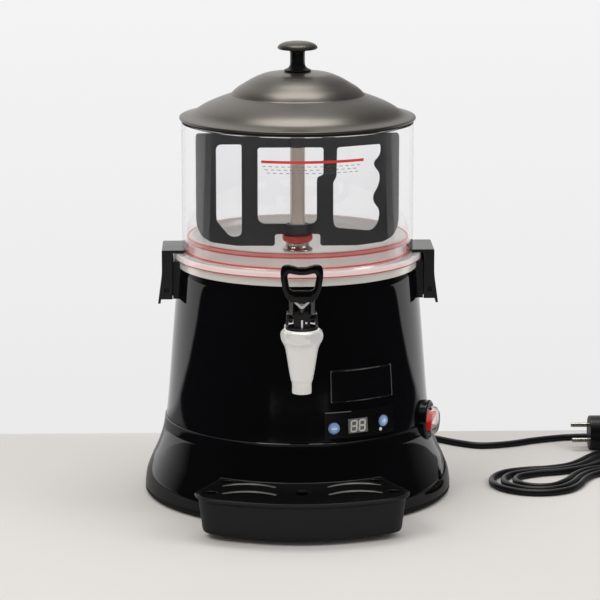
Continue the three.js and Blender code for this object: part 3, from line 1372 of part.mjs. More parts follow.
// The hank: loops pressed together at a waist, each smaller than the one outside it
const hankWaist = new THREE.Vector3(322, 62, 0);
const hankTurn = THREE.MathUtils.degToRad(40);
const hankLoops = 2.625;
const hankStepsPerLoop = 24;
const hankRight = 40;
const hankLeft = 97;
const hankLeftStep = 2;
const hankLeftRadius = 50;
const hankLeftRadiusStep = 11;
const hankRightRadius = 39;
const hankRightRadiusStep = 8.2;
const hankWaistHalf = 25;
const hankWaistStep = 8.6;
const cordSides = 6;
const cordRest = cordRadius;
const ease = (from, to, share) => from + ((to - from) * (1 - Math.cos(quarterTurn * 2 * share))) / 2;
function hankPoint(loops) {
  const quarter = Math.floor((loops % 1) * 4 + weld);
  const share = (loops % 1) * 4 - quarter;
  const leftPlace = -(hankLeft - hankLeftStep * loops);
  const leftRadius = hankLeftRadius - hankLeftRadiusStep * loops;
  const rightRadius = hankRightRadius - hankRightRadiusStep * loops;
  const waist = hankWaistHalf - hankWaistStep * loops;
  let [x, y] = [0, 0];
  if (quarter === 1) {
    x = leftPlace - leftRadius * Math.sin(quarterTurn * 2 * share);
    y = -leftRadius * Math.cos(quarterTurn * 2 * share);
  } else if (quarter === 3) {
    x = hankRight + rightRadius * Math.sin(quarterTurn * 2 * share);
    y = rightRadius * Math.cos(quarterTurn * 2 * share);
  } else {
    const leftward = quarter === 0 ? share : 1 - share;
    x = hankRight + (leftPlace - hankRight) * leftward;
    const half = leftward * 2;
    const away = half < 1 ? ease(rightRadius, waist, half) : ease(waist, leftRadius, half - 1);
    y = quarter === 0 ? -away : away;
  }
  return new THREE.Vector3(x, y, 0);
}
const hankCentres = [];
const hankSteps = Math.round(hankLoops * hankStepsPerLoop);
for (let i = 0; i <= hankSteps; i += 1) hankCentres.push(hankPoint(i / hankStepsPerLoop));
const straightEnd = (end, inner) => end.clone().sub(inner).setLength(2 * cordRadius).add(end);
hankCentres.unshift(straightEnd(hankCentres[0], hankCentres[1]));
hankCentres.push(straightEnd(hankCentres[hankCentres.length - 1], hankCentres[hankCentres.length - 2]));
for (const centre of hankCentres) {
  centre.applyAxisAngle(new THREE.Vector3(0, 0, 1), hankTurn).add(hankWaist).setZ(cordRest);
}
addPiece(machine, 'cord_hank', cordBlack, cordTube(hankCentres, cordSides));

// The least gap between two stretches of the hank, measured on points of its centre line
const dense = [];
const densePerStep = 4;
for (let i = 0; i < hankCentres.length - 1; i += 1) {
  for (let j = 0; j < densePerStep; j += 1) {
    dense.push(hankCentres[i].clone().lerp(hankCentres[i + 1], j / densePerStep));
  }
}
let leastGap = Infinity;
for (let i = 0; i < dense.length; i += 1) {
  for (let j = i + densePerStep * hankStepsPerLoop / 4; j < dense.length; j += 1) {
    leastGap = Math.min(leastGap, dense[i].distanceTo(dense[j]) - 2 * cordRadius);
  }
}
console.log(`least gap of the hank to itself: ${leastGap.toFixed(2)} mm`);

// The cord from the grommet along the table into the hank, and from the hank into the plug
function cordThrough(points, steps) {
  const curve = new THREE.CatmullRomCurve3(points.map(([x, y, z]) => new THREE.Vector3(x, y, z)));
  return curve.getSpacedPoints(steps);
}
const runSteps = 50;
const tailSteps = 20;
const cordJoint = 1.3;
const cordExit = grommetSleeveEnd + gap;
const exitPoint = [cordExit * Math.sin(grommetAzimuth), -cordExit * Math.cos(grommetAzimuth), grommetHeight];
const hankStart = hankCentres[0].clone().lerp(hankCentres[1], -cordJoint / (2 * cordRadius)).toArray();
const hankEnd = hankCentres[hankCentres.length - 1].clone()
  .lerp(hankCentres[hankCentres.length - 2], -cordJoint / (2 * cordRadius)).toArray();
const runPoints = [
  exitPoint,
  [67, 184, 22.5], [72.5, 195, 17.5], [82, 204, 9.5], [97, 207.5, 4.7], [115, 204, 3.7], [136, 194, 3.6], [157, 180, 3.5],
  [181, 160, 3.5], [205, 148, 3.5], [236, 154, 3.5], [266, 169, 3.5], [296, 180, 3.5], [327, 184, 3.5],
  [352, 183, 3.5], [375, 176, 3.5], [391, 161, 3.5], [401, 140, 3.5], [404.5, 118, 3.5], [403.5, 104, 3.5],
  [401, 90, 3.5], [396.5, 78, 3.5], [389.7, 67.9, 3.5],
  hankStart,
];
const tailPoints = [
  hankEnd,
  [316.5, 59.3, 3.6], [327, 67.5, 4.8], [341, 76, 7.6], [354, 82.5, 10.2], [366, 87.3, 11.3], [383, 91, 11.5], [396.5, 101.5, 11.8],
  [401, 117, 13], [395, 132, 15.2], [386, 140.6, 17.2], [377, 143.2, 18.3],
  [plugFaceX + plugLength + runningGap, plugCentreY, plugRadius],
];
addPiece(machine, 'cord_run', cordBlack, cordTube(cordThrough(runPoints, runSteps), cordSides));
addPiece(machine, 'cord_tail', cordBlack, cordTube(cordThrough(tailPoints, tailSteps), cordSides));

export default part;
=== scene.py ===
"""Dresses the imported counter-top hot chocolate dispenser in smooth surfaces and materials.

Lengths in the tables are millimetres in the machine's own frame: the origin on the table under
the middle of the round housing, +Z up, the tap towards -Y. in_place() turns them into metres in
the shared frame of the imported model.
"""

import math

import bmesh
import bpy
import numpy as np
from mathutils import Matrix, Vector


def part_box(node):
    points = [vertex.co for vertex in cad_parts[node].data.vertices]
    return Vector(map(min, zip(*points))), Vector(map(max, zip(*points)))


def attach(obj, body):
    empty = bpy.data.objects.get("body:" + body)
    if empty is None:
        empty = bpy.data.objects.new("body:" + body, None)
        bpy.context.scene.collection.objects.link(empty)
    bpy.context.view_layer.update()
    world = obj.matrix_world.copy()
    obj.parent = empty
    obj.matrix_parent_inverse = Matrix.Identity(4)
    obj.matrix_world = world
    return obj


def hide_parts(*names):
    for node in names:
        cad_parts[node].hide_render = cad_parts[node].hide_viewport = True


bl_info = {
    "name": "Hot chocolate dispenser",
    "version": (1, 0, 0),
    "blender": (4, 5, 0),
    "location": "3D View > Sidebar > Dispenser",
    "description": "Builds the visible surfaces and finishes of a counter-top hot chocolate dispenser",
    "category": "Add Mesh",
}

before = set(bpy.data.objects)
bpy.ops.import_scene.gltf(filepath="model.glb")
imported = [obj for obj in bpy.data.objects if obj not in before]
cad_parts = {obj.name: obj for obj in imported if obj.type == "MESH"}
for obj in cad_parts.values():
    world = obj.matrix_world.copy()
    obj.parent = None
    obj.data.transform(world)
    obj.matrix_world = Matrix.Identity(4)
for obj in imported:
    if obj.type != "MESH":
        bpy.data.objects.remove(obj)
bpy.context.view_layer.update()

MM = 0.001
# Points closer than this, in metres, are one, and a bend over this many degrees stays sharp
DOUBLES = 2e-6
CREASE = 34
FULL_TURN = 2 * math.pi
# The columns that lay a turned shape along X or along Y
ALONG_X = ((0, 1, 0), (0, 0, 1), (1, 0, 0))
ALONG_Y = ((1, 0, 0), (0, 0, 1), (0, 1, 0))

# The housing's axis in the shared frame, in metres
lid_low, lid_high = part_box("lid_dome")
AXIS_Y = (lid_low.y + lid_high.y) / 2


def linear(red, green, blue):
    """A colour written as 0 to 255 per channel, as the linear values that shaders use."""
    shares = np.array([red, green, blue], float) / 255
    low, high = shares / 12.92, ((shares + 0.055) / 1.055) ** 2.4
    return tuple(float(x) for x in np.where(shares <= 0.04045, low, high))


# Shapes as arrays of points and faces


def in_place(points):
    """Machine millimetres to metres in the shared frame: p / 1000 + (0, axis, 0)."""
    return np.asarray(points, float) * MM + np.array([0.0, AXIS_Y, 0.0])


def net(grid, wrap_rows=False, wrap_columns=False):
    """The quads between neighbouring points of a grid of points, closed where it wraps."""
    rows, columns = grid.shape[:2]
    index = np.arange(rows * columns).reshape(rows, columns)
    if wrap_rows:
        index = np.vstack([index, index[:1]])
    if wrap_columns:
        index = np.hstack([index, index[:, :1]])
    quads = np.stack([index[:-1, :-1], index[1:, :-1], index[1:, 1:], index[:-1, 1:]], -1)
    return grid.reshape(-1, 3), quads.reshape(-1, 4).tolist()


def together(*shapes):
    """Several shapes as one: their points one after another, their faces renumbered."""
    points, faces, first = [], [], 0
    for shape_points, shape_faces in shapes:
        points.append(np.asarray(shape_points, float))
        faces += [[corner + first for corner in face] for face in shape_faces]
        first += len(shape_points)
    return np.vstack(points), faces


def shifted(shape, x=0.0, y=0.0, z=0.0):
    """p + (x, y, z) for every point."""
    return np.asarray(shape[0]) + np.array([x, y, z], float), shape[1]


def turned_by(shape, columns, origin=(0, 0, 0)):
    """x a + y b + z c + origin for the three columns a, b and c."""
    return np.asarray(shape[0]) @ np.array(columns, float) + np.array(origin, float), shape[1]


def rounded(corners, radius, steps=4, closed=True):
    """Each corner P becomes (1-t)^2 A + 2t(1-t) P + t^2 B, where A and B lie on its two edges,
    one radius away from P or just under half the edge."""
    corners = np.asarray(corners, float)
    radius = np.broadcast_to(np.asarray(radius, float), len(corners))[:, None]
    before, after = np.roll(corners, 1, 0) - corners, np.roll(corners, -1, 0) - corners
    long_before = np.linalg.norm(before, axis=1, keepdims=True) + 1e-12
    long_after = np.linalg.norm(after, axis=1, keepdims=True) + 1e-12
    start = corners + before / long_before * np.minimum(radius, 0.48 * long_before)
    end = corners + after / long_after * np.minimum(radius, 0.48 * long_after)
    t = np.linspace(0, 1, steps + 1)[None, :, None]
    curve = (1 - t) ** 2 * start[:, None] + 2 * t * (1 - t) * corners[:, None] + t**2 * end[:, None]
    if closed:
        return curve.reshape(-1, corners.shape[1])
    return np.vstack([corners[:1], curve[1:-1].reshape(-1, corners.shape[1]), corners[-1:]])


def smooth_through(points, count, closed=False):
    """A Catmull-Rom curve through the points, then the same curve at even steps of its length:
    p(t) = (2B + (C-A)t + (2A-5B+4C-D)t^2 + (3B-A-3C+D)t^3) / 2 between B and C."""
    points = np.asarray(points, float)
    if closed:
        line = np.vstack([points[-1:], points, points[:2]])
    else:
        line = np.vstack([2 * points[:1] - points[1:2], points, 2 * points[-1:] - points[-2:-1]])
    a, b, c, d = line[:-3, None], line[1:-2, None], line[2:-1, None], line[3:, None]
    t = np.linspace(0, 1, 24, endpoint=False)[None, :, None]
    curve = 2 * b + (c - a) * t + (2 * a - 5 * b + 4 * c - d) * t**2 + (3 * b - a - 3 * c + d) * t**3
    curve = curve / 2
    curve = np.vstack([curve.reshape(-1, points.shape[1]), line[-2:-1]])
    run = np.concatenate([[0], np.cumsum(np.linalg.norm(np.diff(curve, axis=0), axis=1))])
    places = np.linspace(0, run[-1], count + 1 if closed else count)
    even = np.stack([np.interp(places, run, curve[:, i]) for i in range(points.shape[1])], -1)
    return even[:-1] if closed else even


def turned(profile, steps=160, closed=True):
    """A profile of radius r and height z turned about the upright axis: (r cos a, r sin a, z)."""
    radius, height = np.asarray(profile, float).T
    angle = np.linspace(0, FULL_TURN, steps, endpoint=False)[:, None]
    grid = np.stack([radius * np.cos(angle), radius * np.sin(angle), height + 0 * angle], -1)
    return net(grid, True, closed)


def outward(azimuth_degrees):
    """The columns of a frame at an azimuth from the front: across, up and out of the housing."""
    angle = math.radians(azimuth_degrees)
    return (
        (math.cos(angle), math.sin(angle), 0),
        (0, 0, 1),
        (math.sin(angle), -math.cos(angle), 0),
    )


def out_of_housing(shape, azimuth, away, height):
    """The shape with its own Z turned outwards at an azimuth, and its origin at the height, the
    distance away from the housing's axis."""
    columns = outward(azimuth)
    return turned_by(shape, columns, (away * columns[2][0], away * columns[2][1], height))


def mound(loop, profile, place):
    """A flat closed loop drawn in to its middle m and lifted: place(m + s (loop - m), w) for the
    shares s and lifts w of the profile, which starts and ends at share 0."""
    loop = np.asarray(loop, float)
    middle = (loop.max(0) + loop.min(0)) / 2
    share, lift = np.asarray(profile, float).T
    flat = middle + share[None, :, None] * (loop[:, None] - middle)
    return net(place(flat[..., 0], flat[..., 1], lift[None] + 0 * flat[..., 0]), True, False)


def capped_bar(grid):
    """Sections of four points each, joined along their row and closed at its two ends."""
    points, faces = net(grid, False, True)
    last = len(points)
    return points, faces + [[0, 1, 2, 3], [last - 4, last - 3, last - 2, last - 1]]


def box_loop(left, right, low, high, radius, steps=5):
    """A rectangle with rounded corners: its four corners, each eased by rounded()."""
    return rounded([(left, low), (right, low), (right, high), (left, high)], radius, steps)


def even_loop(loop, step=1.5):
    """The same closed loop with its straight runs divided into steps of about one length."""
    loop = np.vstack([loop, loop[:1]])
    run = np.concatenate([[0], np.cumsum(np.linalg.norm(np.diff(loop, axis=0), axis=1))])
    places = np.unique(np.concatenate([run, np.arange(0, run[-1], step)]).round(4))[:-1]
    return np.stack([np.interp(places, run, loop[:, i]) for i in (0, 1)], -1)


def round_loop(radius, count=48, x=0.0, y=0.0):
    """A circle as a loop of points: (x + r cos a, y + r sin a)."""
    angle = np.linspace(0, FULL_TURN, count, endpoint=False)
    return np.stack([x + radius * np.cos(angle), y + radius * np.sin(angle)], -1)


def slab_profile(low, high, bevel, edge=0.97):
    """Shares and lifts for mound(): from the middle of the top, level up to the share of the
    edge, down by the bevel at share 1, then straight down and back to the underside's middle."""
    return [(0, high), (edge * 0.5, high), (edge, high), ((1 + edge) / 2, high - 0.3 * bevel),
            (1, high - bevel), (1, low), (0.5, low), (0, low)]


def rounded_block(left, right, front, back, low, high, radius):
    """A box whose upright corners are rounded and whose top edge has a small bevel."""
    loop = box_loop(left, right, front, back, radius)
    profile = slab_profile(low, high, min(radius, 0.6), 0.95)
    return mound(loop, profile, lambda x, y, z: np.stack([x, y, z], -1))


def finished_mesh(thing):
    """A new mesh of the object as its curve settings or modifiers leave it."""
    return bpy.data.meshes.new_from_object(thing.evaluated_get(bpy.context.evaluated_depsgraph_get()))


def pierced(outline, windows, thickness, bevel, place, bevel_steps=3, cuts=()):
    """A flat plate with windows: its loops u, v become a flat curve with a thickness and a rounded
    edge, made a mesh, divided at the cuts along u, before place(u, v, w) puts it where it belongs."""
    curve = bpy.data.curves.new("plate", "CURVE")
    curve.dimensions = "2D"
    curve.fill_mode = "BOTH"
    curve.extrude = thickness / 2 - bevel
    curve.bevel_depth = bevel
    curve.bevel_resolution = bevel_steps
    curve.offset = -bevel
    for loop in (outline, *windows):
        loop = np.asarray(loop, float)
        spline = curve.splines.new("POLY")
        spline.points.add(len(loop) - 1)
        flat = np.zeros((len(loop), 4))
        flat[:, :2] = loop
        flat[:, 3] = 1
        spline.points.foreach_set("co", flat.ravel())
        spline.use_cyclic_u = True
    holder = bpy.data.objects.new("plate", curve)
    bpy.context.scene.collection.objects.link(holder)
    bpy.context.view_layer.update()
    mesh = finished_mesh(holder)
    if len(cuts):
        work = bmesh.new()
        work.from_mesh(mesh)
        for u in cuts:
            everything = [*work.verts, *work.edges, *work.faces]
            bmesh.ops.bisect_plane(work, geom=everything, plane_co=(u, 0, 0), plane_no=(1, 0, 0))
        work.to_mesh(mesh)
        work.free()
    flat = np.zeros(len(mesh.vertices) * 3)
    mesh.vertices.foreach_get("co", flat)
    flat = flat.reshape(-1, 3)
    faces = [list(face.vertices) for face in mesh.polygons]
    bpy.data.objects.remove(holder)
    bpy.data.curves.remove(curve)
    bpy.data.meshes.remove(mesh)
    return place(flat[:, 0], flat[:, 1], flat[:, 2]), faces


def flat_xy(middle):
    """A plate that lies level, its middle at one height."""
    return lambda u, v, w: np.stack([u, v, w + middle], -1)


def flat_xz(middle):
    """A plate that stands across the machine, its middle at one place along Y."""
    return lambda u, v, w: np.stack([u, w + middle, v], -1)


def flat_yz(middle):
    """A plate that stands along the machine, its middle at one place along X."""
    return lambda u, v, w: np.stack([w + middle, u, v], -1)


def smoothed(mesh, sharp):
    """Smooth shading, but for the edges that bend more than the sharp angle in degrees."""
    mesh.polygons.foreach_set("use_smooth", np.ones(len(mesh.polygons), bool))
    mesh.set_sharp_from_angle(angle=math.radians(sharp))


def cleaned_mesh(name, shape, doubles):
    """The shape as a mesh in place, its doubles merged and all its faces outwards."""
    points, faces = shape
    mesh = bpy.data.meshes.new(name)
    mesh.from_pydata(in_place(points).tolist(), [], faces)
    work = bmesh.new()
    work.from_mesh(mesh)
    bmesh.ops.remove_doubles(work, verts=work.verts, dist=doubles)
    bmesh.ops.dissolve_degenerate(work, dist=1e-7, edges=work.edges)
    bmesh.ops.recalc_face_normals(work, faces=work.faces)
    work.to_mesh(mesh)
    work.free()
    return mesh


def piece(name, shape, material, body, replaces=(), sharp=CREASE):
    """A mesh object at the origin with merged doubles, outward faces and sharp creases kept."""
    mesh = cleaned_mesh(name, shape, DOUBLES)
    smoothed(mesh, sharp)
    mesh.materials.append(material)
    made = bpy.data.objects.new(name, mesh)
    bpy.context.scene.collection.objects.link(made)
    flats = made.modifiers.new("flats", "WEIGHTED_NORMAL")
    flats.keep_sharp = True
    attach(made, body)
    if replaces:
        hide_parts(*replaces)
    return made


# Where some finishes change, in metres in the shared frame: the bowl's foot by its top, inner radius and underside,
# where a painted glow goes, the knob's cap, the grate's top edge, below which a painted highlight goes, and the height
# above which the rocker is painted paler as a highlight

BOWL_FOOT = (0.2532, 0.1178, 0.2459)
CAP_HEIGHT = 0.4568
GRATE_LIP = 0.04355
ROCKER_HIGHLIGHT = 0.0795


# Materials, as expressions on sockets


class Wire:
    """One socket of a material. + - * / and ** on wires and numbers add the Math nodes."""

    def __init__(self, tree, socket):
        self.tree = tree
        self.socket = socket

    def joined(self, operation, first, second):
        node = self.tree.nodes.new("ShaderNodeMath")
        node.operation = operation
        for socket, value in zip(node.inputs, (first, second)):
            if isinstance(value, Wire):
                self.tree.links.new(value.socket, socket)
            else:
                socket.default_value = value
        return Wire(self.tree, node.outputs[0])

    def __add__(self, other):
        return self.joined("ADD", self, other)

    def __radd__(self, other):
        return self.joined("ADD", other, self)

    def __sub__(self, other):
        return self.joined("SUBTRACT", self, other)

    def __rsub__(self, other):
        return self.joined("SUBTRACT", other, self)

    def __mul__(self, other):
        return self.joined("MULTIPLY", self, other)

    def __rmul__(self, other):
        return self.joined("MULTIPLY", other, self)

    def __truediv__(self, other):
        return self.joined("DIVIDE", self, other)

    def __rtruediv__(self, other):
        return self.joined("DIVIDE", other, self)

    def __pow__(self, other):
        return self.joined("POWER", self, other)

    def above(self, limit):
        """1 above the limit and 0 below it."""
        return self.joined("GREATER_THAN", self, limit)

    def below(self, limit):
        """1 below the limit and 0 above it."""
        return self.joined("LESS_THAN", self, limit)

    def least(self, other):
        return self.joined("MINIMUM", self, other)

    def most(self, other):
        return self.joined("MAXIMUM", self, other)

    def held(self):
        """Kept between 0 and 1."""
        return self.least(1.0).most(0.0)


class Finish:
    """A material being made. node() adds any node, its settings first, then its sockets."""

    def __init__(self, name):
        self.material = bpy.data.materials.new(name)
        self.material.use_nodes = True
        self.tree = self.material.node_tree
        self.tree.nodes.clear()

    def node(self, kind, settings=None, values=None, output=0):
        node = self.tree.nodes.new("ShaderNode" + kind)
        for key, value in (settings or {}).items():
            setattr(node, key, value)
        for key, value in (values or {}).items():
            if isinstance(value, Wire):
                self.tree.links.new(value.socket, node.inputs[key])
            else:
                node.inputs[key].default_value = value
        return Wire(self.tree, node.outputs[output])

    def position(self):
        return self.node("TexCoord", output=3)

    def parts(self, vector):
        """The three numbers of a vector."""
        node = self.tree.nodes.new("ShaderNodeSeparateXYZ")
        self.tree.links.new(vector.socket, node.inputs[0])
        return [Wire(self.tree, socket) for socket in node.outputs]

    def vector(self, x, y, z):
        return self.node("CombineXYZ", None, {0: x, 1: y, 2: z})

    def noise(self, scale, detail=2.0, rough=0.5, at=None):
        """Soft noise between 0 and 1, at a place that is the object's own unless another is given."""
        values = {"Vector": at or self.position(), "Scale": scale, "Detail": detail, "Roughness": rough}
        return self.node("TexNoise", None, values)

    def mixed(self, share, first, second):
        """The colour first at share 0 and second at share 1."""
        values = {0: share}
        values[6] = first if isinstance(first, Wire) else (*first, 1)
        values[7] = second if isinstance(second, Wire) else (*second, 1)
        return self.node("Mix", {"data_type": "RGBA"}, values, 2)

    def bump(self, height, strength, distance=0.0005):
        return self.node("Bump", None, {"Height": height, "Strength": strength, "Distance": distance})

    def shader(self, colour, roughness, normal=None, **constants):
        """The surface shader; further sockets are given by their names, as in emission_strength."""
        values = {"Base Color": colour if isinstance(colour, Wire) else (*colour, 1), "Roughness": roughness}
        if normal:
            values["Normal"] = normal
        for key, value in constants.items():
            values[key.replace("_", " ").title().replace("Ior", "IOR")] = value
        return self.node("BsdfPrincipled", None, values)

    def done(self, shader):
        output = self.tree.nodes.new("ShaderNodeOutputMaterial")
        self.tree.links.new(shader.socket, output.inputs["Surface"])
        return self.material

    def round_the_axis(self):
        """Distance from the housing's axis, and height, for turned and brushed work."""
        x, y, z = self.parts(self.position())
        y = y - AXIS_Y
        return (x * x + y * y) ** 0.5, z


def scaled(colour, factor):
    """A colour made darker or lighter, and never past white."""
    return tuple(min(1, c * factor) for c in colour)


def gloss_plastic(name, colour, roughness=0.1, orange_peel=0.02):
    """Polished moulding: faint flow marks in its roughness and a soft waviness."""
    f = Finish(name)
    cloud = f.noise(9, 3)
    dust = f.noise(420, 2)
    tint = f.mixed(cloud, scaled(colour, 0.86), scaled(colour, 1.14))
    rough = roughness * (0.82 + 0.36 * cloud) + 0.03 * dust.above(0.66)
    return f.done(f.shader(tint, rough, f.bump(f.noise(60, 1), orange_peel, 0.002), ior=1.5))


def grained_plastic(name, colour, roughness=0.42, grain=0.25, size=1500.0):
    """Spark-eroded moulding: a fine even grain, with lighter flecks where the grain stands high."""
    f = Finish(name)
    fine, cloud = f.noise(size, 2, 0.6), f.noise(14, 3)
    tint = f.mixed(cloud, scaled(colour, 0.8), scaled(colour, 1.2))
    tint = f.mixed(fine.above(0.62) * 0.25, tint, tuple(min(1, c * 1.7 + 0.004) for c in colour))
    rough = roughness + 0.16 * (cloud - 0.5) + 0.1 * (fine - 0.5)
    return f.done(f.shader(tint, rough, f.bump(fine, grain, 0.0002)))


def brushed_metal(name, colour, roughness=0.3, rings=900.0, depth=0.08):
    """Metal brushed round the axis: fine rings that follow radius and height."""
    f = Finish(name)
    radius, height = f.round_the_axis()
    ring = f.noise(1.0, 3, 0.7, f.vector(radius * rings, height * rings, 0.0))
    cloud = f.noise(18, 3)
    tint = f.mixed(0.6 * ring + 0.4 * cloud, scaled(colour, 0.84), scaled(colour, 1.12))
    rough = roughness + 0.22 * (ring - 0.5) + 0.08 * (cloud - 0.5)
    return f.done(f.shader(tint, rough, f.bump(ring, depth, 0.0002), metallic=1.0))


def satin_metal(name, colour, roughness, metallic=1.0, glow=0.0):
    """Smooth plated metal with a satin bloom: a fine even haze and hardly any relief. A little
    glow stands for the bright room that the real one mirrors."""
    f = Finish(name)
    fine, cloud = f.noise(1800, 2), f.noise(22, 3)
    tint = f.mixed(0.5 * fine + 0.5 * cloud, scaled(colour, 0.92), scaled(colour, 1.04))
    rough = roughness + 0.06 * (cloud - 0.5) + 0.06 * (fine - 0.5)
    return f.done(f.shader(tint, rough, f.bump(fine, 0.01, 0.0001), metallic=metallic, emission_color=(*colour, 1),
                           emission_strength=glow))


def soft_rubber(name, colour, roughness=0.55):
    """Dull rubber or paint: a cloudy colour under a fine grain."""
    f = Finish(name)
    cloud, fine = f.noise(30, 3), f.noise(900, 2)
    tint = f.mixed(cloud, scaled(colour, 0.8), scaled(colour, 1.22))
    return f.done(f.shader(tint, roughness + 0.2 * (fine - 0.5), f.bump(fine, 0.12, 0.0002)))


def clear_plastic(name, tint, roughness=0.02, foot=None):
    """Clear moulded plastic with faint cleaning marks. Where a foot is given, by the height of
    its top, its inner radius and the height of its underside, it is painted pale with a faint glow there: painted
    light caught in the thick plastic."""
    f = Finish(name)
    haze = f.noise(26, 3)
    fine = f.noise(700, 2)
    rough = roughness + 0.03 * (haze - 0.45).most(0.0)
    colour = f.mixed(haze, tint, scaled(tint, 1.02))
    clear = f.shader(colour, rough, f.bump(fine, 0.01, 0.0002), transmission_weight=1.0, ior=1.46)
    if not foot:
        return f.done(clear)
    top, wide, under = foot
    radius, height = f.round_the_axis()
    thick = ((top - height) / 0.002).held() * ((radius - wide) / 0.0015).held()
    thick = thick * ((height - under) / 0.0005).held()
    # Painted glow: a pale, faintly glowing shader mixed in where the foot's plastic is thick, for the light caught
    # there
    painted_foot_glow = f.shader(linear(250, 242, 242), 0.12, f.bump(fine, 0.01, 0.0002), emission_color=(1, 0.9, 0.89, 1),
                     emission_strength=0.22)
    return f.done(f.node("MixShader", None, {0: thick * (0.5 + 0.2 * haze), 1: clear, 2: painted_foot_glow}))


def lid_metal(name, colour):
    """Satin metallic coat on a spun lid: a fine sparkle, faint rings and a few dull patches."""
    f = Finish(name)
    radius, height = f.round_the_axis()
    ring = f.noise(1.0, 2, 0.6, f.vector(radius * 260.0, height * 260.0, 0.0))
    flake, cloud = f.noise(2400, 1), f.noise(11, 4)
    tint = f.mixed(0.5 * cloud + 0.5 * flake, scaled(colour, 0.74), scaled(colour, 1.3))
    rough = 0.31 + 0.1 * (cloud - 0.5) + 0.07 * (ring - 0.5)
    return f.done(f.shader(tint, rough, f.bump(0.6 * ring + 0.4 * flake, 0.05, 0.0002), metallic=0.85))


def knob_coat(name, stem, cap):
    """Black stem under a cap with the lid's own metallic bloom."""
    f = Finish(name)
    height = f.parts(f.position())[2]
    top = ((height - CAP_HEIGHT) / 0.0006).held()
    fine, cloud = f.noise(2400, 1), f.noise(60, 3)
    tint = f.mixed(0.5 * fine + 0.5 * cloud, scaled(cap, 0.5), scaled(cap, 0.95))
    tint = f.mixed(top, scaled(stem, 0.5), tint)
    return f.done(f.shader(tint, 0.34 + 0.1 * (cloud - 0.5), f.bump(fine, 0.05, 0.0002), metallic=top * 0.8))


def grate_coat(name, colour):
    """Gloss black with a painted highlight: a pale grey on the slopes of the slots, below the top face and
    clear of the round holes."""
    f = Finish(name)
    x, y, z = f.parts(f.position())
    cloud, fine = f.noise(14, 3), f.noise(900, 2)
    side = (x * x) ** 0.5
    slots = side.above(0.02) * side.below(0.081) * y.below(AXIS_Y - 0.146)
    # Painted highlight: in the slots' band and below the top face the colour is mixed towards a pale grey
    lip = ((GRATE_LIP - z) / 0.0003).held() * slots
    tint = f.mixed(cloud, scaled(colour, 0.9), scaled(colour, 1.1))
    tint = f.mixed(lip * (0.2 + 0.45 * cloud), tint, linear(150, 148, 140))
    return f.done(f.shader(tint, 0.2 + 0.08 * cloud, f.bump(fine, 0.03, 0.0002)))


def seal_rubber(name, colour, highlight_band):
    """Translucent red silicone with a painted highlight, a pale band along the middle of its bead, and a faint painted
    red glow.
    """
    f = Finish(name)
    low, high = highlight_band
    height = f.parts(f.position())[2]
    # Painted highlight: between two heights along the bead the colour is mixed towards a pale pink
    painted_highlight = (height.above(low * MM) * height.below(high * MM)) * (0.75 + 0.25 * f.noise(40, 2))
    cloud = f.noise(24, 3)
    tint = f.mixed(cloud, scaled(colour, 0.82), scaled(colour, 1.18))
    tint = f.mixed(painted_highlight * 0.85, tint, linear(238, 226, 220))
    # The faint red emission is a painted glow, as if light shone through the silicone
    return f.done(f.shader(tint, 0.34 + 0.12 * cloud, f.bump(f.noise(500, 2), 0.05, 0.0002),
                           subsurface_weight=0.15, subsurface_scale=0.002,
                           emission_color=(0.8, 0.2, 0.17, 1), emission_strength=0.28))


def button_plastic(name, colour, places):
    """Pale blue moulding, painted lighter in the middle: a painted glow as if a lamp behind it shone through."""
    f = Finish(name)
    x, y, z = f.parts(f.position())
    near = None
    for px, py, pz in places:
        away = ((x - px) * (x - px) + (y - py) * (y - py) + (z - pz) * (z - pz)) ** 0.5
        # Painted glow: each button is lighter towards its middle, as if lit from behind
        glow = (1 - away / 0.0062).held()
        near = glow if near is None else near.most(glow)
    tint = f.mixed((near * 1.5).held(), scaled(colour, 0.62), scaled(colour, 1.5))
    tint = f.mixed(f.noise(300, 2) * 0.12, tint, linear(240, 246, 255))
    return f.done(f.shader(tint, 0.22 + 0.1 * f.noise(120, 2), f.bump(f.noise(600, 2), 0.03, 0.0002)))


def display_face(name):
    """Smoked filter over the digits, with a fine woven diffuser behind it."""
    f = Finish(name)
    weave = f.noise(1900, 1)
    tint = f.mixed(weave, linear(84, 84, 84), linear(116, 117, 116))
    return f.done(f.shader(tint, 0.28 + 0.1 * f.noise(80, 2), f.bump(weave, 0.1, 0.0001)))


def switch_lens(name, colour):
    """Red translucent rocker, saturated low down and painted paler higher up as a highlight; it glows as a lit switch
    does.
    """
    f = Finish(name)
    height = f.parts(f.position())[2]
    # Painted highlight: above this height the rocker is mixed towards a pale pink
    up = ((height - ROCKER_HIGHLIGHT) / 0.004).held()
    tint = f.mixed(up * 0.75, colour, linear(246, 150, 140))
    tint = f.mixed(f.noise(160, 2) * 0.2, tint, scaled(colour, 0.7))
    return f.done(f.shader(tint, 0.2 + 0.08 * f.noise(90, 2), f.bump(f.noise(700, 2), 0.04, 0.0002),
                           emission_color=tint, emission_strength=0.45))


def board_lacquer(name):
    """Green lacquered board with paler tracks in a staggered pattern."""
    f = Finish(name)
    x, _, z = f.parts(f.position())
    flat = f.vector(x * 60.0, z * 60.0, 0.0)
    tracks = f.node("TexBrick", {"offset": 0.5}, {"Vector": flat, "Scale": 3.0, "Mortar Size": 0.03}, 1)
    tint = f.mixed(tracks, linear(30, 92, 52), linear(150, 140, 60))
    return f.done(f.shader(tint, 0.4 + 0.2 * f.noise(60, 2), f.bump(tracks, 0.2, 0.0002)))


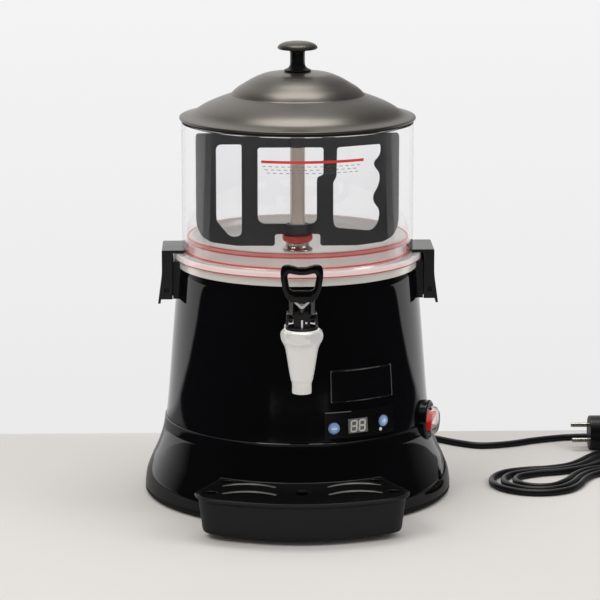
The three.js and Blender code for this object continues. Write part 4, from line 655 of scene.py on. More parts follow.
def stage_paint(name, table, wall_low, wall_high, edge):
    """Plain pale table with a soft mottling, then the backdrop beyond its far edge, painted lighter further back,
    which is higher in the view, as painted light. Gloss shows the table at less than half its light and fading out
    about 0.6 m to either side, and the pale backdrop behind it."""
    f = Finish(name)
    x, y, z = f.parts(f.position())
    camera, glossy, through = (f.node("LightPath", output=i) for i in (0, 3, 6))
    cloud = f.noise(3.0, 3)
    tint = f.mixed(cloud, scaled(table, 0.97), scaled(table, 1.03))
    side = (x * x) ** 0.5
    away = (x * x + y * y) ** 0.5
    seen_glow = camera.most(through) * y.above(edge).most(((away - 1.6) / 1.4).held())
    gloss_glow = glossy * ((y - 0.32 - side * 0.093) / 0.06).held()
    gloss_dim = glossy * ((side - 0.52) / 0.14).held().most(((-1 * y - 1.42) / 0.06).held())
    gloss_dim = gloss_dim.most(glossy * 0.6)
    # Painted light on the backdrop: lighter further back along the ground, which is higher in the view
    height = (1.4 - 4.284 / (y + 2.83).most(0.5)).held()
    backdrop = f.mixed(height, wall_low, wall_high)
    lit = f.shader(f.mixed(y.above(edge), tint, wall_low), 0.75 + 0.1 * cloud, f.bump(f.noise(220, 2), 0.03, 0.0005))
    dim = f.node("Emission", None, {"Color": (0.012, 0.012, 0.014, 1), "Strength": 1.0})
    glow = f.node("Emission", None, {"Color": backdrop, "Strength": 1.0})
    ground = f.node("MixShader", None, {0: gloss_dim, 1: lit, 2: dim})
    return f.done(f.node("MixShader", None, {0: seen_glow.most(gloss_glow), 1: ground, 2: glow}))


class Room(Finish):
    """The world, as expressions on sockets like a material."""

    def __init__(self, name):
        self.world = bpy.data.worlds.new(name)
        self.world.use_nodes = True
        self.tree = self.world.node_tree
        self.tree.nodes.clear()

    def done(self, shader):
        output = self.tree.nodes.new("ShaderNodeOutputWorld")
        self.tree.links.new(shader.socket, output.inputs["Surface"])
        return self.world


def soft_room():
    """Even soft light. Gloss sees a pale wall behind, weaker towards the right, a dim room in
    front and a light ceiling."""
    f = Room("soft_room")
    x, y, z = f.parts(f.node("TexCoord", output=0))
    glossy = f.node("LightPath", output=3)
    high = ((z - 0.74) / 0.16).held()
    behind = ((y - 0.2) / 0.6).held() * (1 - 0.7 * ((x - 0.1) / 0.2).held())
    strength = behind * (1 - high) * 0.85 + high * 0.45 + 0.01
    even = f.node("Background", None, {0: (1.0, 0.985, 0.97, 1), 1: 0.5})
    shown = f.node("Background", None, {0: (1.0, 0.99, 0.98, 1), 1: strength})
    return f.done(f.node("MixShader", None, {0: glossy, 1: even, 2: shown}))


# What a user may change


class DispenserSizes(bpy.types.PropertyGroup):
    """How finely the pieces are made, and the lead's and the camera's sizes"""

    turned_steps: bpy.props.IntProperty(
        name="Steps round", description="Facets round the big turned pieces", default=192, min=48, max=512)
    small_steps: bpy.props.IntProperty(
        name="Small steps", description="Facets round the small turned pieces", default=64, min=24, max=192)
    edge_round: bpy.props.FloatProperty(
        name="Edge rounding", description="Rounding of the metal edges, in millimetres", default=0.7, min=0.1, max=2.0)
    cord_width: bpy.props.FloatProperty(
        name="Cord diameter", description="Diameter of the mains lead", default=0.007, min=0.004, max=0.01,
        unit="LENGTH", subtype="DISTANCE")
    lens: bpy.props.FloatProperty(
        name="Lens", description="Focal length of the camera", default=170.5, min=30, max=400, unit="CAMERA")


def colour_property(name, description, default):
    """A colour that a user may change, kept as linear values."""
    return bpy.props.FloatVectorProperty(
        name=name, description=description, default=default, min=0, max=1, subtype="COLOR", size=3)


class DispenserColours(bpy.types.PropertyGroup):
    """The colours of the finishes, the table and the backdrop"""

    housing: colour_property("Housing", "Gloss black of the housing", linear(9, 9, 11))
    fittings: colour_property("Fittings", "Satin black of knob, latches and lever", linear(30, 30, 32))
    tray: colour_property("Tray", "Satin dark grey of the drip tray", linear(20, 20, 22))
    lid: colour_property("Lid", "Graphite coat of the lid", linear(110, 106, 101))
    steel: colour_property("Steel", "Warm brushed steel", linear(206, 196, 186))
    ring: colour_property("Ring", "Polished ring under the bowl", linear(252, 247, 240))
    chrome: colour_property("Chrome", "Satin chrome of the tap", linear(244, 243, 240))
    seal: colour_property("Seals", "Red silicone", linear(222, 84, 78))
    paddle: colour_property("Paddle", "Grey of the stirring paddle", linear(72, 72, 74))
    button: colour_property("Buttons", "Pale blue of the buttons", linear(120, 156, 208))
    switch: colour_property("Switch", "Red of the rocker switch", linear(206, 22, 26))
    cord: colour_property("Lead", "Black of the mains lead", linear(22, 22, 24))
    table: colour_property("Table", "Pale table", linear(226, 223, 220))
    wall: colour_property("Backdrop", "Even backdrop", linear(234, 234, 235))


def sizes():
    """The sizes that the scene holds."""
    return bpy.context.scene.dispenser_sizes


def colours():
    """The colours that the scene holds."""
    return bpy.context.scene.dispenser_colours


# Each material, once it is made

finishes = {}


def finish(name):
    """The scene's materials, each made once, the first time a piece asks for it."""
    if name in finishes:
        return finishes[name]
    c = colours()
    makers = {
        "gloss_black": lambda: gloss_plastic("housing_gloss", tuple(c.housing), 0.055, 0.012),
        "grate_gloss": lambda: grate_coat("grate_gloss", linear(14, 14, 15)),
        "satin_black": lambda: grained_plastic("fittings_satin", tuple(c.fittings), 0.24, 0.1),
        "knob_satin": lambda: knob_coat("knob_satin", tuple(c.fittings), tuple(c.lid)),
        "column_steel": lambda: satin_metal("column_steel", linear(204, 190, 178), 0.24, 0.6, 0.18),
        "tray_satin": lambda: grained_plastic("tray_satin", tuple(c.tray), 0.4, 0.2),
        "trim_rubber": lambda: soft_rubber("trim_rubber", linear(17, 17, 18), 0.65),
        "graphite_lid": lambda: lid_metal("lid_graphite", tuple(c.lid)),
        "clear_bowl": lambda: clear_plastic("bowl_clear", (0.99, 0.99, 1.0), 0.02, BOWL_FOOT),
        "clear_cover": lambda: clear_plastic("cover_clear", (1.0, 0.93, 0.93), 0.05),
        "rim_seal": lambda: seal_rubber("rim_seal_silicone", tuple(c.seal), (264.4, 266.9)),
        "bowl_seal": lambda: seal_rubber("bowl_seal_silicone", tuple(c.seal), (247.0, 251.4)),
        "red_silicone": lambda: soft_rubber("red_silicone", tuple(c.seal), 0.42),
        "brushed_steel": lambda: brushed_metal("brushed_steel", tuple(c.steel), 0.32),
        "polished_steel": lambda: satin_metal("polished_ring", tuple(c.ring), 0.24, 0.3),
        "dish_steel": lambda: satin_metal("dish_steel", linear(214, 210, 206), 0.34, 0.25, 0.42),
        "satin_chrome": lambda: satin_metal("tap_chrome", tuple(c.chrome), 0.3, 0.65, 0.26),
        "fork_steel": lambda: satin_metal("fork_steel", linear(150, 150, 152), 0.3),
        "clip_steel": lambda: satin_metal("clip_steel", linear(226, 226, 226), 0.3, 0.5),
        "lever_gloss": lambda: gloss_plastic("lever_gloss", linear(8, 8, 9), 0.1, 0.03),
        "bezel_gloss": lambda: gloss_plastic("bezel_gloss", linear(12, 12, 14), 0.12, 0.03),
        "paddle_grey": lambda: grained_plastic("paddle_grey", tuple(c.paddle), 0.48, 0.3, 900.0),
        "panel_film": lambda: grained_plastic("panel_film", linear(10, 10, 12), 0.16, 0.03, 2200.0),
        "badge_black": lambda: gloss_plastic("bare_plate", linear(10, 10, 12), 0.09, 0.02),
        "display_glass": lambda: display_face("display_filter"),
        "digit_light": lambda: soft_rubber("digit_light", linear(200, 198, 190), 0.4),
        "mark_white": lambda: soft_rubber("mark_white", linear(252, 253, 255), 0.35),
        "lamp_lens": lambda: soft_rubber("lamp_lens", linear(226, 238, 232), 0.25),
        "silver_line_and_highlight": lambda: soft_rubber("silver_line_and_highlight", linear(104, 104, 106), 0.4),
        "button_blue": lambda: button_plastic("button_blue", tuple(c.button), button_places()),
        "switch_red": lambda: switch_lens("switch_red", tuple(c.switch)),
        "plug_black": lambda: grained_plastic("plug_black", linear(13, 13, 14), 0.36, 0.2),
        "pin_nickel": lambda: brushed_metal("pin_nickel", linear(206, 202, 192), 0.25, 300.0, 0.04),
        "cord_black": lambda: soft_rubber("lead_black", scaled(c.cord, 0.5), 0.36),
        "line_red": lambda: soft_rubber("level_red", linear(222, 62, 56), 0.5),
        "line_grey": lambda: soft_rubber("level_grey", linear(120, 116, 118), 0.5),
        "board_green": lambda: board_lacquer("board_lacquer"),
        "cast_metal": lambda: grained_plastic("cast_metal", linear(138, 141, 144), 0.5, 0.4, 400.0),
    }
    finishes[name] = makers[name]()
    return finishes[name]


# The housing's profiles, radius and height

SKIRT = smooth_through(
    [(158, 7), (157.8, 11), (155.9, 22), (150.7, 35), (145.6, 46), (141.5, 57), (138.75, 67), (137.6, 74),
     (136.9, 80.2)], 60)
SHELL = smooth_through(
    [(135.6, 80.5), (132.7, 110), (129.5, 150), (126.5, 187), (122.9, 228), (121.3, 236)], 40)
WALL = 2.5
# The radius at which a flat length is wound round the shell
SHELL_ARC = 133.0


def skirt_radius(height):
    """The skirt's radius at a height, read off its profile."""
    return np.interp(height, SKIRT[:, 1], SKIRT[:, 0])


def shell_radius(height):
    """The shell's radius at a height, read off its profile."""
    return np.interp(height, SHELL[:, 1], SHELL[:, 0])


def on_shell(u, v, w):
    """Wraps a flat place round the cone: the angle u / 133, the height v, lifted w off the shell:
    ((R(v) + w) sin a, -(R(v) + w) cos a, v)."""
    angle, radius = u / SHELL_ARC, shell_radius(v) + w
    return np.stack([radius * np.sin(angle), -radius * np.cos(angle), v], -1)


def arc(degrees):
    """The flat length that on_shell() winds to an angle from the front."""
    return math.radians(degrees) * SHELL_ARC


# The stage: how far its ground reaches, where the table ends and the backdrop starts, and the
# camera's place, its tilt below level and its turn, as the photograph frames the machine

GROUND_REACH = 12.0
TABLE_EDGE = 0.2525
CAMERA_X, CAMERA_AHEAD, CAMERA_HEIGHT = -0.0724, -2.861, 0.790
CAMERA_TILT, CAMERA_TURN = 11.69, -1.5


def build_stage():
    """A level table, a backdrop beyond its far edge with painted light that makes it lighter higher up, soft lamps and
    the camera.
    """
    c = colours()
    side = np.linspace(-GROUND_REACH, GROUND_REACH, 25)
    grid = np.stack([*np.meshgrid(side, side, indexing="ij"), np.zeros((len(side), len(side)))], -1)
    points, faces = net(grid)
    mesh = bpy.data.meshes.new("table")
    mesh.from_pydata(points.tolist(), [], faces)
    mesh.materials.append(stage_paint("table_and_backdrop", tuple(c.table), tuple(c.wall),
                                      linear(245, 245, 245), TABLE_EDGE))
    table = bpy.data.objects.new("table", mesh)
    bpy.context.scene.collection.objects.link(table)

    bpy.context.scene.world = soft_room()
    aim = np.array([0.0, 0.0, 0.22])
    lamps = [
        ("key", (-1.3, -1.1, 1.9), 1.1, 1.1, 18.0, (1.0, 0.98, 0.95), False),
        ("fill", (1.7, -0.6, 1.4), 0.9, 1.2, 10.0, (0.97, 0.98, 1.0), False),
        ("top", (0.0, 0.25, 2.1), 1.3, 0.8, 13.0, (1.0, 0.98, 0.95), True),
    ]
    for name, place, wide, tall, power, colour, in_gloss in lamps:
        light = bpy.data.lights.new(name, "AREA")
        light.shape, light.size, light.size_y = "RECTANGLE", wide, tall
        light.energy, light.color = power, colour
        lamp = bpy.data.objects.new(name, light)
        lamp.location = place
        lamp.visible_glossy = in_gloss
        towards = aim - np.array(place)
        level = math.hypot(towards[0], towards[1])
        lamp.rotation_euler = (math.atan2(level, -towards[2]), 0, math.atan2(-towards[0], towards[1]))
        bpy.context.scene.collection.objects.link(lamp)

    view = bpy.data.cameras.new("camera")
    view.lens, view.sensor_width, view.clip_end = sizes().lens, 36.0, 60.0
    camera = bpy.data.objects.new("camera", view)
    camera.location = (CAMERA_X, CAMERA_AHEAD + AXIS_Y, CAMERA_HEIGHT)
    camera.rotation_euler = (math.radians(90 - CAMERA_TILT), 0, math.radians(CAMERA_TURN))
    bpy.context.scene.collection.objects.link(camera)
    bpy.context.scene.camera = camera
    bpy.context.scene.view_settings.view_transform = "Standard"


# The mains lead

LEAD_EXIT = (63.7795, 175.2330, 24.0)
LEAD_AZIMUTH, LEAD_HEIGHT = 160, 24
PLUG_FACE, PLUG_Y, PLUG_RADIUS = 322.0, 143.7, 18.6
HANK_X, HANK_Y, HANK_TURN = 322, 62, 40
HANK_POINTS, LOOP_POINTS = 64, 24
RIGHT_END = 40


def hank_points():
    """Flattened loops pinched at a waist, each smaller than the one outside it: half circles at
    the two ends joined by runs that ease in to the waist and out again, 24 points a loop."""
    loops = np.arange(HANK_POINTS) / LOOP_POINTS
    share = (loops % 1) * 4
    quarter = np.floor(share + 1e-4)
    share = share - quarter
    left, left_radius = -(97 - 2 * loops), 50 - 11 * loops
    right_radius, waist = 39 - 8.2 * loops, 25 - 8.6 * loops
    along = np.where(quarter == 0, share, 1 - share)
    half = along * 2

    def eased(start, end, part):
        """start + (end - start) (1 - cos(pi t)) / 2."""
        return start + (end - start) * (1 - np.cos(math.pi * part)) / 2

    away = np.where(half < 1, eased(right_radius, waist, half), eased(waist, left_radius, half - 1))
    x = np.select(
        [quarter == 1, quarter == 3],
        [left - left_radius * np.sin(math.pi * share), RIGHT_END + right_radius * np.sin(math.pi * share)],
        RIGHT_END + (left - RIGHT_END) * along)
    y = np.select(
        [quarter == 1, quarter == 3],
        [-left_radius * np.cos(math.pi * share), right_radius * np.cos(math.pi * share)],
        np.where(quarter == 0, -away, away))
    turn = math.radians(HANK_TURN)
    x, y = x * math.cos(turn) - y * math.sin(turn), x * math.sin(turn) + y * math.cos(turn)
    return np.stack([HANK_X + x, HANK_Y + y, np.full(HANK_POINTS, 3.5)], -1)


def lead_points():
    """The lead's middle line from the grommet along the table, through the hank, to the plug."""
    run = [
        LEAD_EXIT, (67, 184, 22.5), (72.5, 195, 17.5), (82, 204, 9.5), (97, 207.5, 4.7), (115, 204, 3.7),
        (136, 194, 3.6), (157, 180, 3.5), (181, 160, 3.5), (205, 148, 3.5), (236, 154, 3.5), (266, 169, 3.5),
        (296, 180, 3.5), (327, 184, 3.5), (352, 183, 3.5), (375, 176, 3.5), (391, 161, 3.5), (401, 140, 3.5),
        (404.5, 118, 3.5), (403.5, 104, 3.5), (401, 90, 3.5), (396.5, 78, 3.5), (389.7, 67.9, 3.5)]
    tail = [
        (316.5, 59.3, 3.6), (327, 67.5, 4.8), (341, 76, 7.6), (354, 82.5, 10.2), (366, 87.3, 11.3), (383, 91, 11.5),
        (396.5, 101.5, 11.8), (401, 117, 13), (395, 132, 15.2), (386, 140.6, 17.2), (377, 143.2, 18.3),
        (370.0, 143.7, 18.6)]
    return np.vstack([run, hank_points(), tail])


def build_lead():
    """The mains lead as one curve, its plug with two pins and its tapered strain relief."""
    line = in_place(lead_points())
    curve = bpy.data.curves.new("mains_lead", "CURVE")
    curve.dimensions = "3D"
    curve.bevel_depth = sizes().cord_width / 2
    curve.bevel_resolution = 5
    curve.resolution_u = 8
    curve.use_fill_caps = True
    spline = curve.splines.new("BEZIER")
    spline.bezier_points.add(len(line) - 1)
    spline.bezier_points.foreach_set("co", line.ravel())
    # Handles a sixth of the way across each point's neighbours, which is the Catmull-Rom curve
    reach = np.gradient(line, axis=0) / 3
    spline.bezier_points.foreach_set("handle_left", (line - reach).ravel())
    spline.bezier_points.foreach_set("handle_right", (line + reach).ravel())
    curve.materials.append(finish("cord_black"))
    lead = bpy.data.objects.new("mains_lead", curve)
    bpy.context.scene.collection.objects.link(lead)
    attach(lead, "housing")
    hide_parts("cord_run", "cord_hank", "cord_tail")

    steps = sizes().small_steps
    plug_place = (PLUG_FACE, PLUG_Y, PLUG_RADIUS)
    body = rounded([
        (0, 0), (PLUG_RADIUS - 0.3, 0), (PLUG_RADIUS, 1.4), (PLUG_RADIUS, 20.5), (17.2, 23.5), (13.6, 28.5),
        (9.4, 34), (7.0, 39.5), (6.2, 42.5), (5.2, 43), (5.2, 48), (0, 48)],
        [0, 0.8, 0.8, 2.5, 2, 4, 4, 3, 0.4, 0.4, 0.4, 0], 4, False)
    grips = turned(body, steps, False)
    ribs = [turned(np.array([(5.0, 0), (6.1, 0.3), (6.1, 1.5), (5.0, 1.8)]) + [0, z], steps) for z in (43.2, 45.5)]
    plug = piece("plug_body", turned_by(together(grips, *ribs), ALONG_X, plug_place), finish("plug_black"),
                 "housing", ("mains_plug",))
    pin = turned(rounded([(0, -19), (1.9, -19), (2.4, -17.6), (2.4, 1), (0, 1)], [0, 0.8, 0.8, 0.1, 0], 3, False),
                 32, False)
    roll = math.radians(47)
    pins = [shifted(pin, side * 9.5 * math.cos(roll), side * 9.5 * math.sin(roll)) for side in (-1, 1)]
    plug_pins = piece("plug_pins", turned_by(together(*pins), ALONG_X, plug_place), finish("pin_nickel"),
                      "housing")

    # The sleeve's flange, then six ribs, each a little narrower than the one before
    relief = [(3.9, 0), (7, 0), (7, 8), (10, 8.2), (10, 11.2), (7.2, 11.8)]
    for i in range(6):
        at, wide = 13.6 + 4.2 * i, 6.9 - 0.38 * i
        relief += [(wide, at), (wide, at + 2.4), (wide - 0.9, at + 2.7), (wide - 0.9, at + 3.9)]
    relief += [(4.6, 38.9), (3.9, 39.2)]
    # Its flange stands 3 mm proud of the skirt
    near = skirt_radius(LEAD_HEIGHT) + 3 - 11.2
    sleeve = out_of_housing(turned(rounded(relief, 0.35, 2), steps), LEAD_AZIMUTH, near, LEAD_HEIGHT)
    piece("strain_relief", sleeve, finish("trim_rubber"), "housing", ("cord_grommet",))
    lead_length(line)


def lead_length(line):
    """The length of the smooth curve through the lead's points."""
    dense = smooth_through(line, 4000)
    return float(np.linalg.norm(np.diff(dense, axis=0), axis=1).sum())


def build_housing():
    """Flared skirt, foot band, conical shell and the polished ring under the bowl."""
    steps, soft = sizes().turned_steps, sizes().edge_round
    lip = [(137.05, 79.2), (136.95, 79.4), (135.95, 80.25), (135.7, 80.3)]
    skirt = np.vstack([SKIRT[:-1], lip, (SKIRT - [WALL, 0])[::-1]])
    piece("skirt_shell", turned(skirt, steps), finish("gloss_black"), "housing", ("base_skirt",))
    top_edge = rounded([(121.6, 234.6), (121.3, 236), (118.8, 236)], 0.5, 3, False)
    foot = [(133.1, 80.5), (131.4, 80.5), (131.4, 72.5), (133.9, 72.5), (133.9, 80.5)]
    cone = np.vstack([[(135.2, 80.5), (135.55, 81.0)], SHELL[1:-1], top_edge,
                      (SHELL[1:-1] - [WALL, 0])[::-1], foot])
    piece("cone_shell", turned(cone, steps), finish("gloss_black"), "housing", ("upper_shell",))
    band = rounded([(144, 2), (157, 2), (158, 3.2), (158, 6.2), (157.6, 6.7), (151.9, 6.7), (151.9, 12), (148.9, 12),
                    (148.9, 6.7), (144, 6.7)], 0.4, 3)
    piece("foot_band", turned(band, steps), finish("trim_rubber"), "housing", ("bottom_trim",))
    ring = rounded([(122.6, 236.3), (122.6, 244.3), (98, 244.3), (98, 242.3), (120.05, 242.3), (120.05, 236.3)],
                   soft, 4)
    piece("bright_ring", turned(ring, steps), finish("polished_steel"), "housing", ("top_ring",))


BOWL_RADIUS = 118


def build_bowl():
    """Clear bowl with its stepped foot, and the printed level marks on its front."""
    steps = sizes().turned_steps
    wall = rounded([(115, 244.6), (126, 244.6), (126, 251.6), (120.5, 252), (118.2, 252.4), (118, 256), (118, 384),
                    (115, 384)], [0.3, 1.0, 1.4, 0.5, 1.6, 0.5, 1.0, 1.0], 5)
    piece("clear_bowl", turned(wall, steps), finish("clear_bowl"), "housing", ("bowl",))

    def on_bowl(u, v, w):
        """(R sin a, -R cos a, v) with R = the bowl's radius + w and a = u / the bowl's radius."""
        angle, radius = u / BOWL_RADIUS, BOWL_RADIUS + w
        return np.stack([radius * np.sin(angle), -radius * np.cos(angle), v], -1)

    def dash(left, right, low, high):
        """A short printed stroke: a rectangle of 12 points lifted a tenth of a millimetre."""
        loop = smooth_through(box_loop(left, right, low, high, 0.1, 2), 12, True)
        return mound(loop, [(0, 0.1), (0.5, 0.1), (1, 0.1), (1, 0.03), (0.5, 0.03), (0, 0.03)], on_bowl)

    reach = [math.radians(x) * BOWL_RADIUS for x in (-19, 32)]
    edge = np.linspace(reach[0], reach[1], 60)
    bar = np.stack([on_bowl(edge, 0 * edge + v, 0 * edge + w) for v, w in
                    ((357.9, 0.03), (360.6, 0.03), (360.6, 0.1), (357.9, 0.1))], 1)
    piece("level_line", capped_bar(bar), finish("line_red"), "housing")
    waves = []
    for row, height in enumerate((354.4, 351.2, 348.0)):
        for at in np.arange(reach[0] + 1 + 2.2 * row, reach[1] - 4 - row * 3, 6.4):
            waves.append(dash(at, at + 3.6, height, height + 0.55))
    piece("level_waves", together(*waves), finish("line_grey"), "housing")


def build_heated_floor():
    """Steel dish that floors the bowl, its red seals, the column tube and the shaft seal."""
    steps, small = sizes().turned_steps, sizes().small_steps
    dish = smooth_through([(106.0, 266.9), (103.2, 260.2), (95.5, 253.6), (82, 250.9), (66.6, 250.0)], 24)
    top = np.vstack([[(111, 244.6), (111, 266.4), (110.4, 267.7), (108.9, 268.3), (107.4, 268.1)], dish,
                     [(8.05, 250.0), (8.05, 248.5)], (dish - [0, 1.5])[::-1] + [[0.6, 0]],
                     [(108.6, 266.4), (109.5, 265.2), (109.5, 244.6)]])
    plate = piece("dish", turned(top, steps), finish("dish_steel"), "housing", ("heating_plate",))
    # The outlet is bored through the dish, 84 mm in front of its middle
    drill = cleaned_mesh("drill", shifted(turned([(0, 240), (8, 240), (8, 258), (0, 258)], 48, False), 0, -84), 1e-6)
    tool = bpy.data.objects.new("drill", drill)
    bpy.context.scene.collection.objects.link(tool)
    hole = plate.modifiers.new("outlet", "BOOLEAN")
    hole.operation, hole.solver, hole.object = "DIFFERENCE", "EXACT", tool
    bpy.context.view_layer.update()
    bored = finished_mesh(plate)
    plate.modifiers.clear()
    plate.data = bored
    smoothed(bored, CREASE)
    bpy.data.objects.remove(tool)

    rim = rounded([(113.2, 262.6), (113.2, 267.2), (112.2, 268.2), (111.2, 267.6), (111.2, 262.6)],
                  [0.5, 1.0, 0.8, 0.4, 0.3], 4)
    piece("rim_seal_ring", turned(rim, steps), finish("rim_seal"), "housing", ("plate_rim_seal",))
    foot = rounded([(111.3, 244.6), (114.7, 244.6), (114.4, 253.2), (113.4, 253.7), (111.3, 252.2)],
                   [0.3, 0.3, 0.8, 0.8, 0.3], 4)
    piece("bowl_seal_ring", turned(foot, steps), finish("bowl_seal"), "housing", ("bowl_seal",))
    tube = rounded([(6, 151.8), (7.75, 151.8), (7.75, 357), (6, 357)], 0.3, 3)
    piece("column", turned(tube, small), finish("column_steel"), "housing", ("column_tube",))
    collar = rounded([(8.05, 259.4), (12.6, 259.4), (14.6, 260.6), (15.5, 262.8), (15.5, 266.0), (14.4, 266.9),
                      (8.05, 266.9)], [0.2, 1, 1, 1, 1, 0.8, 0.2], 4)
    piece("shaft_collar", turned(collar, small), finish("red_silicone"), "housing", ("shaft_seal",))
    boss = rounded([(8.05, 250.3), (15.5, 250.3), (15.5, 252.4), (12.0, 254.6), (11.6, 259.3), (8.05, 259.3)],
                   [0.2, 0.8, 1.5, 2, 0.5, 0.2], 4)
    piece("shaft_boss", turned(boss, small), finish("brushed_steel"), "housing")


# The paddle's outline and windows, as shares of its half width and of its height

PADDLE_EDGE = [
    (-0.99, 1.02), (-1, 0.99), (-1, 0.235), (-0.985, 0.16), (-0.94, 0.085), (-0.85, 0.035), (-0.6, 0.002),
    (-0.2242, 0), (-0.2242, 0.107), (0.2242, 0.107), (0.2242, 0), (0.6, 0.002), (0.85, 0.035), (0.94, 0.085),
    (0.985, 0.16), (1, 0.235), (1, 0.99), (0.99, 1.02)]
PADDLE_WINDOWS = [
    [(-0.8, 0.89), (-0.77, 0.92), (-0.56, 0.92), (-0.55, 0.91), (-0.55, 0.12), (-0.57, 0.09), (-0.63, 0.08),
     (-0.68, 0.095), (-0.79, 0.22), (-0.8, 0.25)],
    [(-0.392, 0.89), (0.255, 0.89), (0.255, 0.64), (0.2, 0.625), (0.19, 0.6), (0.19, 0.23), (0.155, 0.2),
     (-0.34, 0.2), (-0.38, 0.225), (-0.392, 0.26)],
    [(0.388, 0.89), (0.81, 0.92), (0.815, 0.9), (0.815, 0.84), (0.79, 0.795), (0.755, 0.765), (0.75, 0.73),
     (0.77, 0.7), (0.805, 0.66), (0.808, 0.59), (0.785, 0.52), (0.75, 0.47), (0.742, 0.42), (0.76, 0.38),
     (0.8, 0.335), (0.808, 0.28), (0.79, 0.2), (0.74, 0.145), (0.7, 0.135), (0.39, 0.16), (0.36, 0.185),
     (0.352, 0.25), (0.352, 0.58), (0.383, 0.62)]]


def build_stirrer():
    """Flat grey paddle with three windows, its hub round the column and its cap on the shaft."""
    small = sizes().small_steps

    def sized(shares):
        """x = 103.7 u and z = 255 + 114 v, in millimetres."""
        return np.array(shares) * [103.7, 114.0] + [0, 255.0]

    outline = rounded(sized(PADDLE_EDGE), 3.0, 4)
    windows = [rounded(sized(shares), 3.0, 4) for shares in PADDLE_WINDOWS]
    blade = pierced(outline, windows, 4.0, 0.8, flat_xz(0))
    hub = turned(rounded([(8.25, 267.2), (12.2, 267.2), (12.2, 277.6), (8.25, 277.6)], 0.7, 3), small)
    cap = turned(rounded([(8.25, 357.5), (11, 357.5), (11, 371.2), (9.4, 372.5), (0, 372.5)],
                         [0.3, 0.6, 1.2, 1.2, 0], 4, False), small, False)
    under = turned([(0, 369.3), (4.3, 369.3), (4.3, 357.5), (8.25, 357.5)], small, False)
    piece("paddle", together(blade, hub, cap, under), finish("paddle_grey"), "stirrer",
          ("stirring_paddle",))


def build_lid():
    """Spun graphite lid with its step, the black gasket under its rim, and the turned knob."""
    steps, small = sizes().turned_steps, sizes().small_steps
    dome = smooth_through([(3, 434.5), (14, 434.1), (31, 432.3), (40, 429.4), (47, 426.1), (52.5, 422.9),
                           (58.2, 419.5), (62.1, 416.8), (65.3, 414), (67.4, 411.7)], 44)
    apron = smooth_through([(69.7, 410.4), (72, 409.5), (82, 405.8), (91, 402), (96.6, 399.2), (100.6, 396.8),
                            (103.3, 394.9), (106.5, 392.9), (110, 391.4), (114, 390.3), (117, 389.6)], 48)
    rim = rounded([(117, 389.6), (120, 388.8), (120, 386.6), (118.6, 386.6), (118.6, 387.9)],
                  [0, 0.9, 0.5, 0.5, 0.3], 4, False)[1:]
    crease = np.array([(68.1, 411.0), (68.9, 410.6)])
    top = np.vstack([dome, crease, apron, rim])
    under = np.vstack([apron[-2::-1] - [0.4, 1.3], dome[::-1] - [0.6, 1.5]])
    under[:, 0] = np.maximum(under[:, 0], 3.0)
    piece("lid_shell", turned(np.vstack([top, under]), steps), finish("graphite_lid"), "lid",
          ("lid_dome",))
    ring = rounded([(111.5, 384.3), (116.9, 384.3), (118.2, 385.6), (118.2, 388.9), (111.5, 388.9)], 0.6, 3)
    piece("gasket", turned(ring, steps), finish("trim_rubber"), "lid", ("lid_gasket",))
    knob = rounded([(2.5, 434.8), (14, 434.8), (13.6, 436.0), (9.6, 437.6), (7.7, 440.4), (7.5, 444), (7.5, 453.4),
                    (8.4, 455.6), (12, 456.3), (19.0, 456.7), (20.3, 457.6), (20.3, 458.9), (18.6, 461.3),
                    (13.4, 463.7), (7, 464.6), (0, 464.8)],
                   [0, 0.5, 0.6, 2, 2, 3, 3, 1.5, 1, 0.8, 0.6, 1.2, 2, 3, 3, 0], 4, False)
    shaft = turned([(0, 451.1), (2.5, 451.1), (2.5, 434.8)], small, False)
    piece("knob", together(turned(knob, small, False), shaft), finish("knob_satin"), "lid",
          ("lid_knob",))


# The tap's upright axis and the height of its shank

TAP_Y = -163.0
TAP_HEIGHT = 192


def six_sided(angle, from_middle, turn):
    """The radius of a hexagon at each angle: its flats' distance from the middle / cos(b), with b
    the angle from the middle of the nearest flat, the whole turned by some degrees."""
    from_flat = (np.degrees(angle) + turn + 30) % 60 - 30
    return from_middle / np.cos(np.radians(from_flat))


